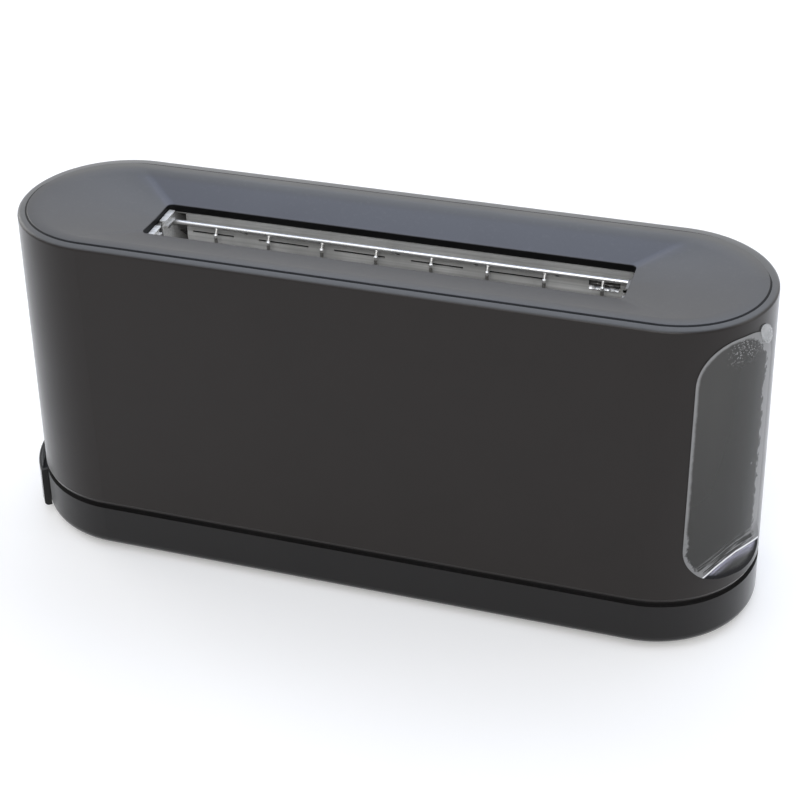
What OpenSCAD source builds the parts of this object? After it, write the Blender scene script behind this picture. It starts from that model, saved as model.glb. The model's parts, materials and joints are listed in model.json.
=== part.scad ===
// Long slot toaster: one slot for two slices end to end, in a tall body with round ends.
// Millimetres, +Z up, the feet stand on z = 0, +X is the end with the film, -X the end with the crumb tray.
// The origin is under the middle of the whole box, which the lever knob and the tray front reach out of.

/* [Body] */
// Overall length of the body at its bottom edge
body_len = 405; // [396:1:430]
// Overall width of the body at its bottom edge
body_w = 114.5; // [112:0.5:124]
// Height of the body from the underside of the base to the rim
body_h = 184.5; // [180:0.5:200]
// How far the wall leans inward between the bottom and the rim
wall_draft = 5.2; // [4:0.1:6]
// Wall thickness of the outer shell
shell_t = 1.8; // [1.2:0.1:2.2]
// Width of the rim that the shell turns in over the top
rim_w = 5.4; // [4.8:0.1:6.4]
// Thickness of that rim
rim_t = 2; // [1.6:0.1:2.6]
// Rounding of the rim's outer edge
rim_round = 1.5; // [0.8:0.1:1.6]

/* [Top cover] */
// Gap between the rim and the top cover
panel_gap = 1.3; // [0.8:0.1:1.6]
// Wall thickness of the top cover
cover_t = 2.4; // [1.8:0.1:2.8]
// Flat band of the cover inside the rim
band_w = 5; // [3:0.5:8]
// How deep the cover dips from the band to the slot
dish_depth = 7; // [5:0.5:9]
// How late the dip steepens on its way to the slot
dish_curve = 1.6; // [1.3:0.1:2]
// Height of the upright collar round the slot
collar_h = 4; // [3:0.5:5]
// Angle on the round end where the crease from a slot corner runs out
crease_angle = 66; // [55:1:75]

/* [Slot] */
// Room between the slot and each end of the body
slot_margin = 78; // [74:1:82]
// Width of the bread slot
slot_w = 31; // [28:0.5:34]
// Corner radius of the bread slot
slot_corner = 3; // [2:0.5:4]
// How far the slot sits off the middle of the body
slot_x = 2; // [0:0.5:4]

/* [Base] */
// Height of the base up to the shell's lower edge
base_h = 28; // [26:0.5:32]
// Height of the shadow groove between base and shell
seam_gap = 2.6; // [1.6:0.2:3]
// Rounding of the bottom edge
base_round = 5.7; // [4:0.1:6.5]
// Wall thickness of the base
base_t = 2.2; // [1.8:0.1:2.6]
// Height of the lip that the shell sits over
lip_h = 5; // [3:0.5:7]
// Height of the rubber feet
foot_h = 3; // [2:0.5:5]
// Radius of the rubber feet
foot_r = 8; // [6:0.5:10]

/* [Toasting chamber] */
// Thickness of the chassis sheet metal
sheet_t = 0.8; // [0.6:0.1:1.2]
// Distance from the body's bottom edge in to the reflectors
reflector_gap = 20.25; // [19.5:0.25:22]
// Distance from the reflectors in to the heater cards
heater_gap = 10; // [8:0.5:11]
// Thickness of the mica heater cards
card_t = 0.8; // [0.6:0.1:1.2]
// Height of the slot frame's turned-down flange
frame_drop = 20; // [16:0.5:22]
// Distance from the middle to the guides' top rods
guide_y = 15.5; // [14.5:0.1:16.5]
// Depth of the guides' top rods below the rim
guide_depth = 15.5; // [14.5:0.1:17]
// Diameter of the guides' rods
guide_rod_d = 2.6; // [2:0.1:3]
// Diameter of the guides' upright wires
wire_d = 1.8; // [1.4:0.1:2.2]
// Mean room between the outer wires and the slot's ends
wire_margin = 20.9; // [19:0.1:23]
// How far the wires sit off the slot's middle
wire_shift = 4.8; // [0:0.1:6]
// How far each guide closes on the bread
guide_close = 5; // [3:0.5:6]

/* [Carriage] */
// Height of the lowered bread rest above the chassis floor
rack_low = 17; // [15:0.5:22]
// Diameter of the carriage's guide rod
rod_d = 6; // [5:0.5:7]
// Height of the carriage block
carriage_h = 44; // [38:1:46]
// Height of the bread rest's spine
spine_h = 9; // [7:0.5:11]
// Outer diameter of the lift spring
spring_d = 7; // [6:0.5:8]
// Wire diameter of the lift spring
spring_wire = 0.9; // [0.7:0.1:1.1]
// Turns of the lift spring
spring_turns = 20; // [14:1:24]

/* [Controls] */
// Width of the lever knob
knob_w = 30; // [24:1:36]
// Height of the lever knob
knob_h = 15; // [12:0.5:18]
// How far the lever knob stands out
knob_depth = 15; // [12:0.5:17]
// Diameter of the browning dial
dial_d = 28; // [24:1:32]
// Depth of the browning dial
dial_depth = 12; // [10:0.5:14]
// Diameter of the push buttons
button_d = 10; // [8:0.5:12]
// Travel of the push buttons
button_press = 2; // [1.5:0.1:2.5]
// Distance between the push buttons
button_pitch = 17; // [16:0.5:20]

/* [Crumb tray] */
// Width of the crumb tray
tray_w = 66; // [58:1:68]
// Height of the crumb tray's wall
tray_h = 9; // [7:0.5:12]
// Thickness of the crumb tray's sheet
tray_t = 0.8; // [0.6:0.1:1.2]
// Half angle of the tray front on the round end
front_angle = 39; // [38:1:44]
// How far the tray front stands proud of the base
front_proud = 4.3; // [3.6:0.1:5]

/* [Protective film] */
// Angle from the end's middle round to the film's middle
film_mid = 39.75; // [34:0.25:42]
// Half of the angle that the film covers
film_angle = 25.25; // [25:0.25:28]
// Height of the film's lower edge above the base's underside
film_low = 39; // [36:1:48]
// Distance from the film's upper edge to the rim
film_top_gap = 8; // [8:0.5:14]
// Corner radius of the film
film_corner = 22; // [14:1:23]
// Thickness of the film
film_t = 0.3; // [0.2:0.05:0.5]
// Length of the pull tab on the film's upper corner
tab_long = 18.5; // [14:0.5:20]
// Width of the pull tab
tab_w = 9.4; // [8:0.2:11]

/* [Hidden] */
$fn = 64;

// Clearances: parts that seat, parts that fit into each other, parts that slide, and a shaft in its bore
seat = 0.2;
fit = 0.3;
run = 0.3;
bore_fit = 0.04;
// Cuts run this far past the faces they open
past = 1;

// Levels
base_z = foot_h;
seam_z = base_z + base_h;
top_z = base_z + body_h;
base_top = seam_z - seam_gap;
floor_t = 2.5;
floor_z = base_z + floor_t;
chassis_z = seam_z;
slot_z = top_z - dish_depth;
collar_z = slot_z - collar_h;
frame_top = collar_z - seat;
frame_z = frame_top - sheet_t;
plate_top = frame_z - seat;

// The plan is a straight run between two round ends, and the wall leans in with height
bottom_r = body_w / 2;
half = (body_len - body_w) / 2;
draft_angle = atan(wall_draft / body_h);
function wall_r(z) = bottom_r - wall_draft * (z - base_z) / body_h;
function inner_r(z) = wall_r(z) - shell_t;
rim_in = wall_r(top_z) - rim_w;
cover_r = rim_in - panel_gap;

// Toasting chamber
slot_len = body_len - 2 * slot_margin;
slot_half = slot_len / 2;
reflector_y = bottom_r - reflector_gap;
heater_y = reflector_y - heater_gap;
plate_inset = 0.8;
chamber_x0 = slot_x - slot_half + plate_inset;
chamber_x1 = slot_x + slot_half - plate_inset;
plate_y = reflector_y + sheet_t + 1;
frame_y = slot_w / 2 + 3.5;
frame_reach = 9;
frame_side = reflector_y - 3;
reflector_z0 = chassis_z + 3;
reflector_bend0 = reflector_z0 + 8;
reflector_drop = 13;
reflector_z1 = frame_top - reflector_drop;
reflector_bend1 = reflector_z1 - 13;
reflector_foot_y = reflector_y - 11;
card_z0 = reflector_bend0 + 3;
card_z1 = reflector_bend1 - 2;
ribbon_t = 0.3;
ribbon_w = 2.4;
ribbon_rows = 9;
ribbon_margin = 8;
guide_z = top_z - guide_depth;
guide_low = chassis_z + 9;
wire_in = 2.4;
wire_bend = 4;
wire_count = 8;
wire_pitch = (slot_len - 2 * wire_margin) / (wire_count - 1);
guide_past = 3;
rack_slot_w = 5;
rack_slot_z = guide_low - 4;

// Flanges of the chassis end plates, the bosses that carry them, and the feet
flange_len = 36;
flange_y = 45;
right_flange_len = 22;
boss_r = 4.5;
boss_y = tray_w / 2 + run + boss_r + 0.4;
right_boss_x = chamber_x1 + 13;
screw_r = 1.6;
screw_head_r = 3.2;
screw_head_h = 2;
foot_inset = 30;
foot_edge = 4;
foot_x = half - foot_inset;
foot_y = bottom_r - base_round - foot_r - foot_edge;
foot_stud_r = foot_r / 3;
foot_stud_past = 1;

// Carriage and lift
rod_r = rod_d / 2;
rod_back = 24.5;
rod_x = chamber_x0 - rod_back;
hang_gap = 3.7;
hang_z = guide_z - guide_rod_d / 2 - hang_gap;
carriage_top_gap = 11;
carriage_z1 = hang_z - carriage_top_gap;
carriage_z0 = carriage_z1 - carriage_h;
rack_rise = 6;
rack_z = carriage_z0 + rack_rise;
travel = rack_z - chassis_z - rack_low;
hang_y = 18;
block_back = 8;
block_front = 7;
block_y = 7;
spine_t = 1.2;
finger_r = 1.1;
finger_y = 9;
ear_t = 3;
spring_x = rod_x - 4;
spring_y = block_y + spring_d / 2 + 1.5;
spring_end_gap = 0.05;
spring_z0 = carriage_z0 + ear_t + spring_wire / 2 + spring_end_gap;
spring_z1 = hang_z - spring_wire / 2 - spring_end_gap;
magnet_r = 7.5;
magnet_y = -(block_y + magnet_r + 3.5);
magnet_h = 26;
pole_gap = 0.4;
pole_z = chassis_z + sheet_t + magnet_h;
armature_z = pole_z + travel + pole_gap;
armature_t = 2;

// Controls on the back wall
lever_x = rod_x + 6;
lever_z = carriage_z1 - 6;
arm_t = 2.6;
arm_h = 9;
lever_slot_w = 5.2;
lever_slot_spare = 3;
bezel_lip = 1.4;
bezel_rim = 5;
bezel_proud = 1.6;
bezel_off = 0.15;
bezel_in = 1.2;
knob_gap = 3.4;
knob_back_y = wall_r(lever_z - travel) + knob_gap;
arm_end = knob_back_y + knob_depth - 4;
dial_rise = 18;
dial_z = seam_z + dial_rise;
dial_y = wall_r(dial_z) + 1.6;
dial_cap = 3;
shaft_r = 3;
board_t = 1.6;
board_gap = 11.5;
board_y = inner_r(dial_z) - board_gap;
board_low = chassis_z + sheet_t + seat;
board_above = 15;
board_high = dial_z + board_above;
button_start = 30;
board_side = 16;
board_past = 12;
first_button = lever_x + button_start;
board_x0 = lever_x - board_side;
board_x1 = first_button + 2 * button_pitch + board_past;
switch_h = 3.5;
post_w = 6;
pot_r = 8;
pot_h = 7;
bush_r = 3.9;
dial_hole_r = bush_r + fit;
wall_cut = board_gap + 9;

// Crumb tray: it runs on ledges above the rounded bottom edge, so that the tray front hides its opening
tray_z = base_z + base_round + 0.6;
tray_short = 14;
tray_x1 = chamber_x1 - tray_short;
front_in = wall_r(tray_z + tray_h) + fit;
front_rise = 4;
front_z0 = base_z + front_rise;
front_z1 = seam_z + 0.5;
rail_w = 4;
rib_t = 1.6;
rib_h = 5;
rib_reach = 28;
rib_x0 = -half - rib_reach;
rib_y = tray_w / 2 + run;

// Cord gland in the back wall of the base
gland_inset = 20;
gland_x = half - gland_inset;
gland_rise = 11.5;
gland_z = base_z + gland_rise;
gland_r = 6;
gland_bore = 3.5;
gland_lip = 2;
gland_flange_r = gland_r + 2;

// Film
film_z0 = base_z + film_low;
film_z1 = top_z - film_top_gap;
film_gap = 0.12;

// Middle of the whole box, seen from the middle of the body's plan
widest_r = wall_r(base_z + base_round);
front_r = wall_r(front_z0) + front_proud;
box_mid = [(widest_r - front_r) / 2, (knob_back_y + knob_depth - widest_r) / 2];

// Moves what is drawn round the middle of the plan, so that the origin is under the middle of the box
module placed() {
    translate([-box_mid[0], -box_mid[1], 0]) children();
}

// Points of an arc in a profile, from one angle to another
function arc(cx, cy, r, from, to, steps = 6) =
    [for (i = [0 : steps]) let (a = from + (to - from) * i / steps) [cx + r * cos(a), cy + r * sin(a)]];

// Sweeps a wall profile, drawn as distance from the core line and height, round the plan
module stadium_sweep() {
    for (turn = [0, 180]) rotate([0, 0, turn]) {
        translate([half, 0, 0]) rotate([0, 0, -90]) rotate_extrude(angle = 180) children();
        translate([-half, 0, 0]) rotate([90, 0, 90]) linear_extrude(2 * half) children();
    }
}

// Turns a profile, drawn as radius and height, round one end over an angle to each side of its middle
module end_sweep(angle) {
    translate([half, 0, 0]) rotate([0, 0, -angle]) rotate_extrude(angle = 2 * angle) children();
}

// A box between two corners
module block(low, high) {
    translate(low) cube(high - low);
}

// A flat outline with round ends, standing upright
module pill(width, low, high) {
    r = width / 2;
    translate([0, low + r]) circle(r);
    translate([0, high - r]) circle(r);
    translate([-r, low + r]) square([width, high - low - width]);
}

// Children drawn with x along the wall, y out of it and z up it, on the leaning back wall
module on_back_wall() {
    translate([0, bottom_r, base_z]) rotate([draft_angle, 0, 0]) children();
}

// An upright outline given depth from one y to another
module stand(y0, y1) {
    translate([0, y1, 0]) rotate([90, 0, 0]) linear_extrude(y1 - y0) children();
}

// A profile of radius and depth turned about an axis along +Y
module turn_y(x, z) {
    translate([x, 0, z]) rotate([-90, 0, 0]) rotate_extrude() children();
}

// The same on both sides of the middle plane
module both_sides() {
    children();
    mirror([0, 1, 0]) children();
}

// Height up the back wall of a level z
function up_wall(z) = (z - base_z) / cos(draft_angle);

lever_slot_z0 = up_wall(lever_z - travel - arm_h / 2 - lever_slot_spare);
lever_slot_z1 = up_wall(lever_z + arm_h / 2 + lever_slot_spare);
bezel_w = lever_slot_w + 2 * bezel_lip;

module body_shell() {
    inner_edge = 0.4;
    low_in = 0.9;
    low_rise = 2;
    profile = concat(
        [[wall_r(seam_z) - low_in, seam_z], [wall_r(seam_z + low_rise), seam_z + low_rise]],
        arc(wall_r(top_z) - rim_round, top_z - rim_round, rim_round, 0, 90),
        [
            [rim_in + inner_edge, top_z],
            [rim_in, top_z - inner_edge],
            [rim_in, top_z - rim_t],
            [inner_r(top_z - rim_t), top_z - rim_t],
            [inner_r(seam_z), seam_z]
        ]);
    color("#38363a") difference() {
        stadium_sweep() polygon(profile);
        translate([lever_x, 0, 0]) on_back_wall() stand(-shell_t - past, past)
            pill(bezel_w + 2 * fit, lever_slot_z0 - bezel_lip - fit, lever_slot_z1 + bezel_lip + fit);
        translate([lever_x, board_y, dial_z]) rotate([-90, 0, 0]) cylinder(h = wall_cut, r = dial_hole_r);
        for (i = [0 : 2]) translate([first_button + i * button_pitch, board_y, dial_z]) rotate([-90, 0, 0])
            cylinder(h = wall_cut, r = button_d / 2 + fit);
    }
}

// Quarter of the loft's plan: where each line starts on the end or side, and where it meets the slot
corner_spread = 7;
loft_end = 10;
loft_corner = 4;
loft_arc = 3;
loft_side = 4;
slot_core_x = slot_half - slot_corner;
slot_core_y = slot_w / 2 - slot_corner;
side_x = half + cover_r * cos(crease_angle + corner_spread);
loft_quarter = concat(
    [for (i = [0 : loft_end]) let (t = i / loft_end)
        [half, crease_angle * t, slot_core_x, slot_core_y * t, 0]],
    [for (i = [1 : loft_corner]) let (t = i / loft_corner)
        [half, crease_angle + corner_spread * t, slot_core_x, slot_core_y, 90 * t]],
    [for (i = [1 : loft_arc])
        let (a = crease_angle + corner_spread + (90 - crease_angle - corner_spread) * i / loft_arc)
        [half, a, slot_core_x * (half + cover_r * cos(a)) / side_x, slot_core_y, 90]],
    [for (i = [1 : loft_side])
        let (x = half * (1 - i / loft_side)) [x, 90, slot_core_x * x / side_x, slot_core_y, 90]]);
loft_last = len(loft_quarter) - 1;
loft_lines = concat(
    [for (i = [0 : loft_last - 1]) [loft_quarter[i], 1, 1]],
    [for (i = [0 : loft_last - 1]) [loft_quarter[loft_last - i], -1, 1]],
    [for (i = [0 : loft_last - 1]) [loft_quarter[i], -1, -1]],
    [for (i = [0 : loft_last - 1]) [loft_quarter[loft_last - i], 1, -1]]);
function rim_point(l, r) = [l[1] * (l[0][0] + r * cos(l[0][1])), l[2] * r * sin(l[0][1])];
function slot_point(l, out) = let (r = slot_corner + out)
    [slot_x + l[1] * (l[0][2] + r * cos(l[0][4])), l[2] * (l[0][3] + r * sin(l[0][4]))];
function dip(s) = dish_depth * pow(s, dish_curve);

module top_cover() {
    edge = 0.6;
    soft = 0.8;
    turn = 0.3;
    collar_t = 1.6;
    top_steps = 10;
    under_steps = 6;
    ledge_w = 2.4;
    ledge_t = 1.8;
    ledge_z = top_z - rim_t - seat;
    // Each station is [share of the way to the slot, radius at the rim, offset at the slot, height]
    stations = concat(
        [
            [0, cover_r, 0, top_z - edge],
            [0, cover_r - edge * turn, 0, top_z - edge * turn],
            [0, cover_r - edge, 0, top_z]
        ],
        [for (i = [0 : top_steps]) let (s = i / top_steps)
            [s, cover_r - band_w, soft, top_z - dip(s)]],
        [[1, 0, soft * turn, slot_z - soft * turn], [1, 0, 0, slot_z - soft]],
        [[1, 0, 0, collar_z], [1, 0, collar_t, collar_z], [1, 0, collar_t, slot_z - cover_t]],
        [for (i = [1 : under_steps]) let (s = 1 - i / under_steps)
            [s, cover_r - band_w, collar_t, top_z - cover_t - dip(s)]],
        [
            [0, cover_r - cover_t, 0, top_z - cover_t],
            [0, cover_r - cover_t, 0, ledge_z - ledge_t],
            [0, rim_in + ledge_w, 0, ledge_z - ledge_t],
            [0, rim_in + ledge_w, 0, ledge_z],
            [0, cover_r, 0, ledge_z]
        ]);
    around = len(loft_lines);
    loops = len(stations);
    points = [for (t = stations, l = loft_lines)
        let (p = (1 - t[0]) * rim_point(l, t[1]) + t[0] * slot_point(l, t[2])) [p[0], p[1], t[3]]];
    faces = [for (k = [0 : loops - 1], i = [0 : around - 1])
        let (a = k * around + i, b = k * around + (i + 1) % around)
        let (d = (k + 1) % loops * around + i, c = (k + 1) % loops * around + (i + 1) % around)
        each [[a, d, c], [a, c, b]]];
    color("#4a4a4e") polyhedron(points, faces);
}

module boss_places() {
    for (x = [rod_x, right_boss_x], y = [-boss_y, boss_y]) translate([x, y, 0]) children();
}

module foot_places() {
    for (x = [-foot_x, foot_x], y = [-foot_y, foot_y]) translate([x, y, 0]) children();
}

module base() {
    lip_r = inner_r(seam_z) - fit;
    lip_top_r = inner_r(seam_z + lip_h) - fit;
    joggle = 4;
    profile = concat(
        [[0, base_z]],
        arc(wall_r(base_z + base_round) - base_round, base_z + base_round, base_round, -90, 0),
        [
            [wall_r(base_top), base_top],
            [lip_r, base_top],
            [lip_top_r, seam_z + lip_h],
            [lip_top_r - base_t, seam_z + lip_h],
            [lip_r - base_t, base_top - base_t],
            [wall_r(base_top - joggle) - base_t, base_top - joggle - base_t],
            [wall_r(floor_z) - base_t, floor_z],
            [0, floor_z]
        ]);
    post_x = board_x1 - post_w - 2;
    post_side = 3;
    post_h = 7;
    mouth = 26;
    gland_cut = 5;
    vent_count = 7;
    vent_pitch = 19;
    vent_long = 12;
    vent_w = 3;
    vent_x = -52;
    vent_y = boss_y + 7;
    color("#2e2d2f") difference() {
        union() {
            stadium_sweep() polygon(profile);
            boss_places() translate([0, 0, base_z]) cylinder(h = chassis_z - base_z, r = boss_r);
            both_sides() {
                block([rib_x0, tray_w / 2 - rail_w, base_z], [tray_x1, rib_y, tray_z - run]);
                block([rib_x0, rib_y, base_z], [tray_x1, rib_y + rib_t, tray_z + rib_h]);
            }
            block([post_x, board_y - board_t - post_side, base_z],
                [post_x + post_w, board_y + post_side, board_low + post_h]);
        }
        block([-half - bottom_r - past, -rib_y, tray_z - run],
            [-half - bottom_r + mouth, rib_y, tray_z + tray_h + run]);
        boss_places() {
            translate([0, 0, base_z - past]) cylinder(h = chassis_z - base_z + 2 * past, r = screw_r + seat);
            translate([0, 0, base_z - past]) cylinder(h = screw_head_h + past + fit, r = screw_head_r + fit);
        }
        foot_places() translate([0, 0, base_z - past])
            cylinder(h = floor_t + 2 * past, r = foot_stud_r + bore_fit);
        block([post_x - past, board_y - board_t - seat, board_low - seat],
            [post_x + post_w + past, board_y + seat, board_low + post_h + past]);
        translate([gland_x, bottom_r + past, gland_z]) rotate([90, 0, 0])
            cylinder(h = base_t + gland_cut, r = gland_r + seat);
        both_sides() for (i = [0 : vent_count - 1])
            translate([vent_x + i * vent_pitch, vent_y - vent_w / 2, base_z - past])
            cube([vent_long, vent_w, floor_t + 2 * past]);
    }
}

module rubber_feet() {
    chamfer = 1;
    color("#1b1b1b") foot_places() rotate_extrude() polygon([
        [0, 0],
        [foot_r - chamfer, 0],
        [foot_r, chamfer],
        [foot_r, foot_h],
        [foot_stud_r, foot_h],
        [foot_stud_r, floor_z + foot_stud_past],
        [0, floor_z + foot_stud_past]
    ]);
}

module base_screws() {
    end = chassis_z + sheet_t;
    color("#9a9a9a") boss_places() rotate_extrude() polygon([
        [0, base_z + fit],
        [screw_head_r, base_z + fit],
        [screw_head_r, base_z + fit + screw_head_h],
        [screw_r, base_z + fit + screw_head_h],
        [screw_r, end],
        [0, end]
    ]);
}

module cord_gland() {
    y = wall_r(gland_z);
    inside = y - base_t - fit;
    outside = y + fit;
    color("#1b1b1b") turn_y(gland_x, gland_z) polygon([
        [gland_bore, inside - gland_lip],
        [gland_flange_r, inside - gland_lip],
        [gland_flange_r, inside],
        [gland_r, inside],
        [gland_r, outside],
        [gland_flange_r, outside],
        [gland_flange_r - 0.6, outside + gland_lip],
        [gland_bore, outside + gland_lip]
    ]);
}

module terminal_block() {
    rib_clear = 1.5;
    lip_clear = 2;
    gland_clear = 14;
    ways = 3;
    way_pitch = 8;
    way_z = 5;
    way_r = 2;
    screw_z = 8;
    high = 13;
    y0 = rib_y + rib_t + rib_clear;
    y1 = wall_r(floor_z + high) - base_t - gland_lip - lip_clear;
    size = [ways * way_pitch, y1 - y0, high];
    low = [gland_x - gland_clear - size[0], y0, floor_z];
    color("#d8d4c8") difference() {
        translate(low) cube(size);
        for (i = [0 : ways - 1]) translate(low + [(i + 0.5) * way_pitch, 0, 0]) {
            translate([0, -past, way_z]) rotate([-90, 0, 0]) cylinder(h = size[1] + 2 * past, r = way_r);
            translate([0, size[1] / 2, screw_z]) cylinder(h = size[2], r = screw_r);
        }
    }
}

// Plan of the tray, pulled in by an amount from its edge
module tray_plan(inset) {
    end_gap = 0.1;
    end_r = front_in - end_gap - inset;
    intersection() {
        translate([-half - front_in, -tray_w / 2 + inset])
            square([half + front_in + tray_x1 - inset, tray_w - 2 * inset]);
        union() {
            translate([-half, 0]) circle(end_r);
            translate([-half, -end_r]) square([half + tray_x1, 2 * end_r]);
        }
    }
}

module crumb_tray() {
    color("#a8aaac") translate([0, 0, tray_z]) difference() {
        linear_extrude(tray_h) tray_plan(0);
        translate([0, 0, tray_t]) linear_extrude(tray_h) tray_plan(tray_t);
    }
}

// Block round the end of the base, with a finger groove behind the upper lip
module crumb_tray_front() {
    low_round = 2.4;
    top_round = 0.7;
    lip_t = 1.5;
    groove = 8;
    end_wall = 2;
    groove_z = front_z1 - groove;
    profile = concat(
        [[wall_r(front_z0) + fit, front_z0]],
        arc(wall_r(front_z0) + front_proud - low_round, front_z0 + low_round, low_round, -90, 0),
        arc(wall_r(front_z1) + front_proud - top_round, front_z1 - top_round, top_round, 0, 90, 4),
        [[wall_r(front_z1) + fit, front_z1]]);
    color("#2e2d2f") rotate([0, 0, 180]) difference() {
        end_sweep(front_angle) polygon(profile);
        end_sweep(front_angle - end_wall) polygon([
            [wall_r(groove_z) - past, groove_z],
            [wall_r(groove_z) + front_proud - lip_t, groove_z],
            [wall_r(front_z1 + past) + front_proud - lip_t, front_z1 + past],
            [wall_r(front_z1 + past) - past, front_z1 + past]
        ]);
    }
}

// Outline of the film, drawn flat and then laid along the round end
module film_outline() {
    film_r = wall_r((film_z0 + film_z1) / 2);
    mid = -film_r * film_mid * PI / 180;
    half_w = film_r * film_angle * PI / 180;
    corner = min(film_corner, half_w - 1);
    side = half_w - corner;
    tab_turn = 45;
    tab_out = 1.5;
    along = [sin(tab_turn), -cos(tab_turn)];
    across = [cos(tab_turn), sin(tab_turn)];
    tab_at = [mid + side, film_z1 - corner] + (corner + tab_out) * across;
    sheet = concat(
        arc(mid + side, film_z0 + corner, corner, -90, 0, 10),
        arc(mid + side, film_z1 - corner, corner, 0, 90, 10),
        arc(mid - side, film_z1 - corner, corner, 90, 180, 10),
        arc(mid - side, film_z0 + corner, corner, 180, 270, 10));
    tab = [for (p = arc(0, 0, 1, 0, 345, 23))
        tab_at + tab_long / 2 * p[0] * along + tab_w / 2 * p[1] * across];
    for (flat = [sheet, tab])
        polygon([for (p = flat) [wall_r(p[1]) * sin(p[0] / film_r * 180 / PI), p[1]]]);
}

module protective_film() {
    high = film_z1 + tab_w + past;
    low = film_z0 - past;
    color([0.85, 0.88, 0.9, 0.4]) intersection() {
        end_sweep(90) polygon([for (p = [[0, low], [film_t, low], [film_t, high], [0, high]])
            [wall_r(p[1]) + film_gap + p[0], p[1]]]);
        translate([half, 0, 0]) rotate([90, 0, 90]) linear_extrude(bottom_r + past) film_outline();
    }
}

// Openings in both end plates: the bread rest's slot, open to the top, and the guides' four short slots
module end_plate_slots(x) {
    side = guide_rod_d / 2 + run;
    block([x - past, -rack_slot_w / 2, rack_slot_z],
        [x + sheet_t + past, rack_slot_w / 2, plate_top + past]);
    both_sides() {
        block([x - past, guide_y - guide_close - side, guide_z - side],
            [x + sheet_t + past, guide_y + side, guide_z + side]);
        block([x - past, guide_y - wire_in - guide_close - side, guide_low - side],
            [x + sheet_t + past, guide_y - wire_in + side, guide_low + side]);
    }
}

// Short lips at the top of an end plate, folded in towards the bread
module plate_lips(x, turn) {
    lip = 2.2;
    from_slot = 1.2;
    from_side = 2;
    y1 = slot_w / 2 - from_side;
    both_sides() translate([x, 0, 0]) mirror([turn > 0 ? 0 : 1, 0, 0])
        block([-sheet_t / 2, rack_slot_w / 2 + from_slot, plate_top - sheet_t], [lip, y1, plate_top]);
}

module end_plate_left() {
    x1 = chamber_x0;
    x0 = x1 - sheet_t;
    color("#b4b2ac") difference() {
        union() {
            block([x0, -plate_y, chassis_z], [x1, plate_y, plate_top]);
            plate_lips(x1, 1);
            block([x0 - flange_len, -flange_y, chassis_z], [x0, flange_y, chassis_z + sheet_t]);
            block([x0 - flange_len, -hang_y, hang_z], [x0, hang_y, hang_z + sheet_t]);
        }
        end_plate_slots(x0);
        translate([rod_x, 0, chassis_z - past]) cylinder(h = hang_z, r = rod_r + bore_fit);
        boss_places() translate([0, 0, chassis_z - past])
            cylinder(h = sheet_t + 2 * past, r = screw_r + seat);
    }
}

module end_plate_right() {
    x0 = chamber_x1;
    x1 = x0 + sheet_t;
    color("#b4b2ac") difference() {
        union() {
            block([x0, -plate_y, chassis_z], [x1, plate_y, plate_top]);
            plate_lips(x0, -1);
            block([x1, -flange_y, chassis_z], [x1 + right_flange_len, flange_y, chassis_z + sheet_t]);
        }
        end_plate_slots(x0);
        boss_places() translate([0, 0, chassis_z - past])
            cylinder(h = sheet_t + 2 * past, r = screw_r + seat);
    }
}

// Frame under the cover's collar: its turned-down flanges have round holes, long slits and a window
module slot_frame() {
    hole_pitch = 42;
    hole_count = 5;
    hole_r = 1.5;
    hole_z = guide_z - 3;
    flange_gap = 6;
    slit_long = 28;
    slit_h = 1.2;
    slit_gap = 7;
    slit_end = 3;
    slit_drop = 3.7;
    slit_z = hole_z - slit_drop;
    window_w = 16;
    window_h = 5.5;
    window_x = wire_x(wire_count - 1) - window_w / 2;
    notch_w = 3.5;
    notch_h = 2;
    notch_gap = 1.5;
    notch_x = window_x + window_w + notch_gap;
    cut_y0 = frame_y - past;
    cut_y1 = frame_y + sheet_t + past;
    color("#b4b2ac") difference() {
        union() {
            difference() {
                block([chamber_x0 - frame_reach, -frame_side, frame_z],
                    [chamber_x1 + frame_reach, frame_side, frame_top]);
                block([chamber_x0 - sheet_t - fit, -frame_y, frame_z - past],
                    [chamber_x1 + sheet_t + fit, frame_y, frame_top + past]);
            }
            both_sides() block([chamber_x0 + flange_gap, frame_y, frame_top - frame_drop],
                [chamber_x1 - seat, frame_y + sheet_t, frame_top]);
        }
        both_sides() {
            for (i = [0 : hole_count - 1])
                let (x = slot_x + (i - (hole_count - 1) / 2) * hole_pitch)
                let (x1 = x - slit_gap, x0 = max(x1 - slit_long, chamber_x0 + flange_gap + slit_end)) {
                    translate([x, cut_y0, hole_z]) rotate([-90, 0, 0])
                        cylinder(h = cut_y1 - cut_y0, r = hole_r);
                    block([x0, cut_y0, slit_z - slit_h / 2], [x1, cut_y1, slit_z + slit_h / 2]);
                }
            block([window_x, cut_y0, slit_z], [window_x + window_w, cut_y1, slit_z + window_h]);
            block([notch_x, cut_y0, slit_z - notch_h], [notch_x + notch_w, cut_y1, slit_z]);
        }
    }
}

// Sheet reflector with a slanted foot and a slanted top that closes over the heater
module reflector(side) {
    line = [[reflector_foot_y, reflector_z0], [reflector_y, reflector_bend0], [reflector_y, reflector_bend1],
        [frame_y + sheet_t + 2, reflector_z1]];
    outline = concat(line, [for (i = [0 : 3]) line[3 - i] + [sheet_t, 0]]);
    color("#c4c2bc") mirror([0, side > 0 ? 0 : 1, 0]) translate([chamber_x0 + seat, 0, 0]) rotate([90, 0, 90])
        linear_extrude(chamber_x1 - chamber_x0 - 2 * seat) polygon(outline);
}

module reflector_front() {
    reflector(-1);
}

module reflector_back() {
    reflector(1);
}

module heater_card(side) {
    color("#d9cfb4") mirror([0, side > 0 ? 0 : 1, 0])
        block([chamber_x0 + seat, heater_y, card_z0], [chamber_x1 - seat, heater_y + card_t, card_z1]);
}

module heater_card_front() {
    heater_card(-1);
}

module heater_card_back() {
    heater_card(1);
}

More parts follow.
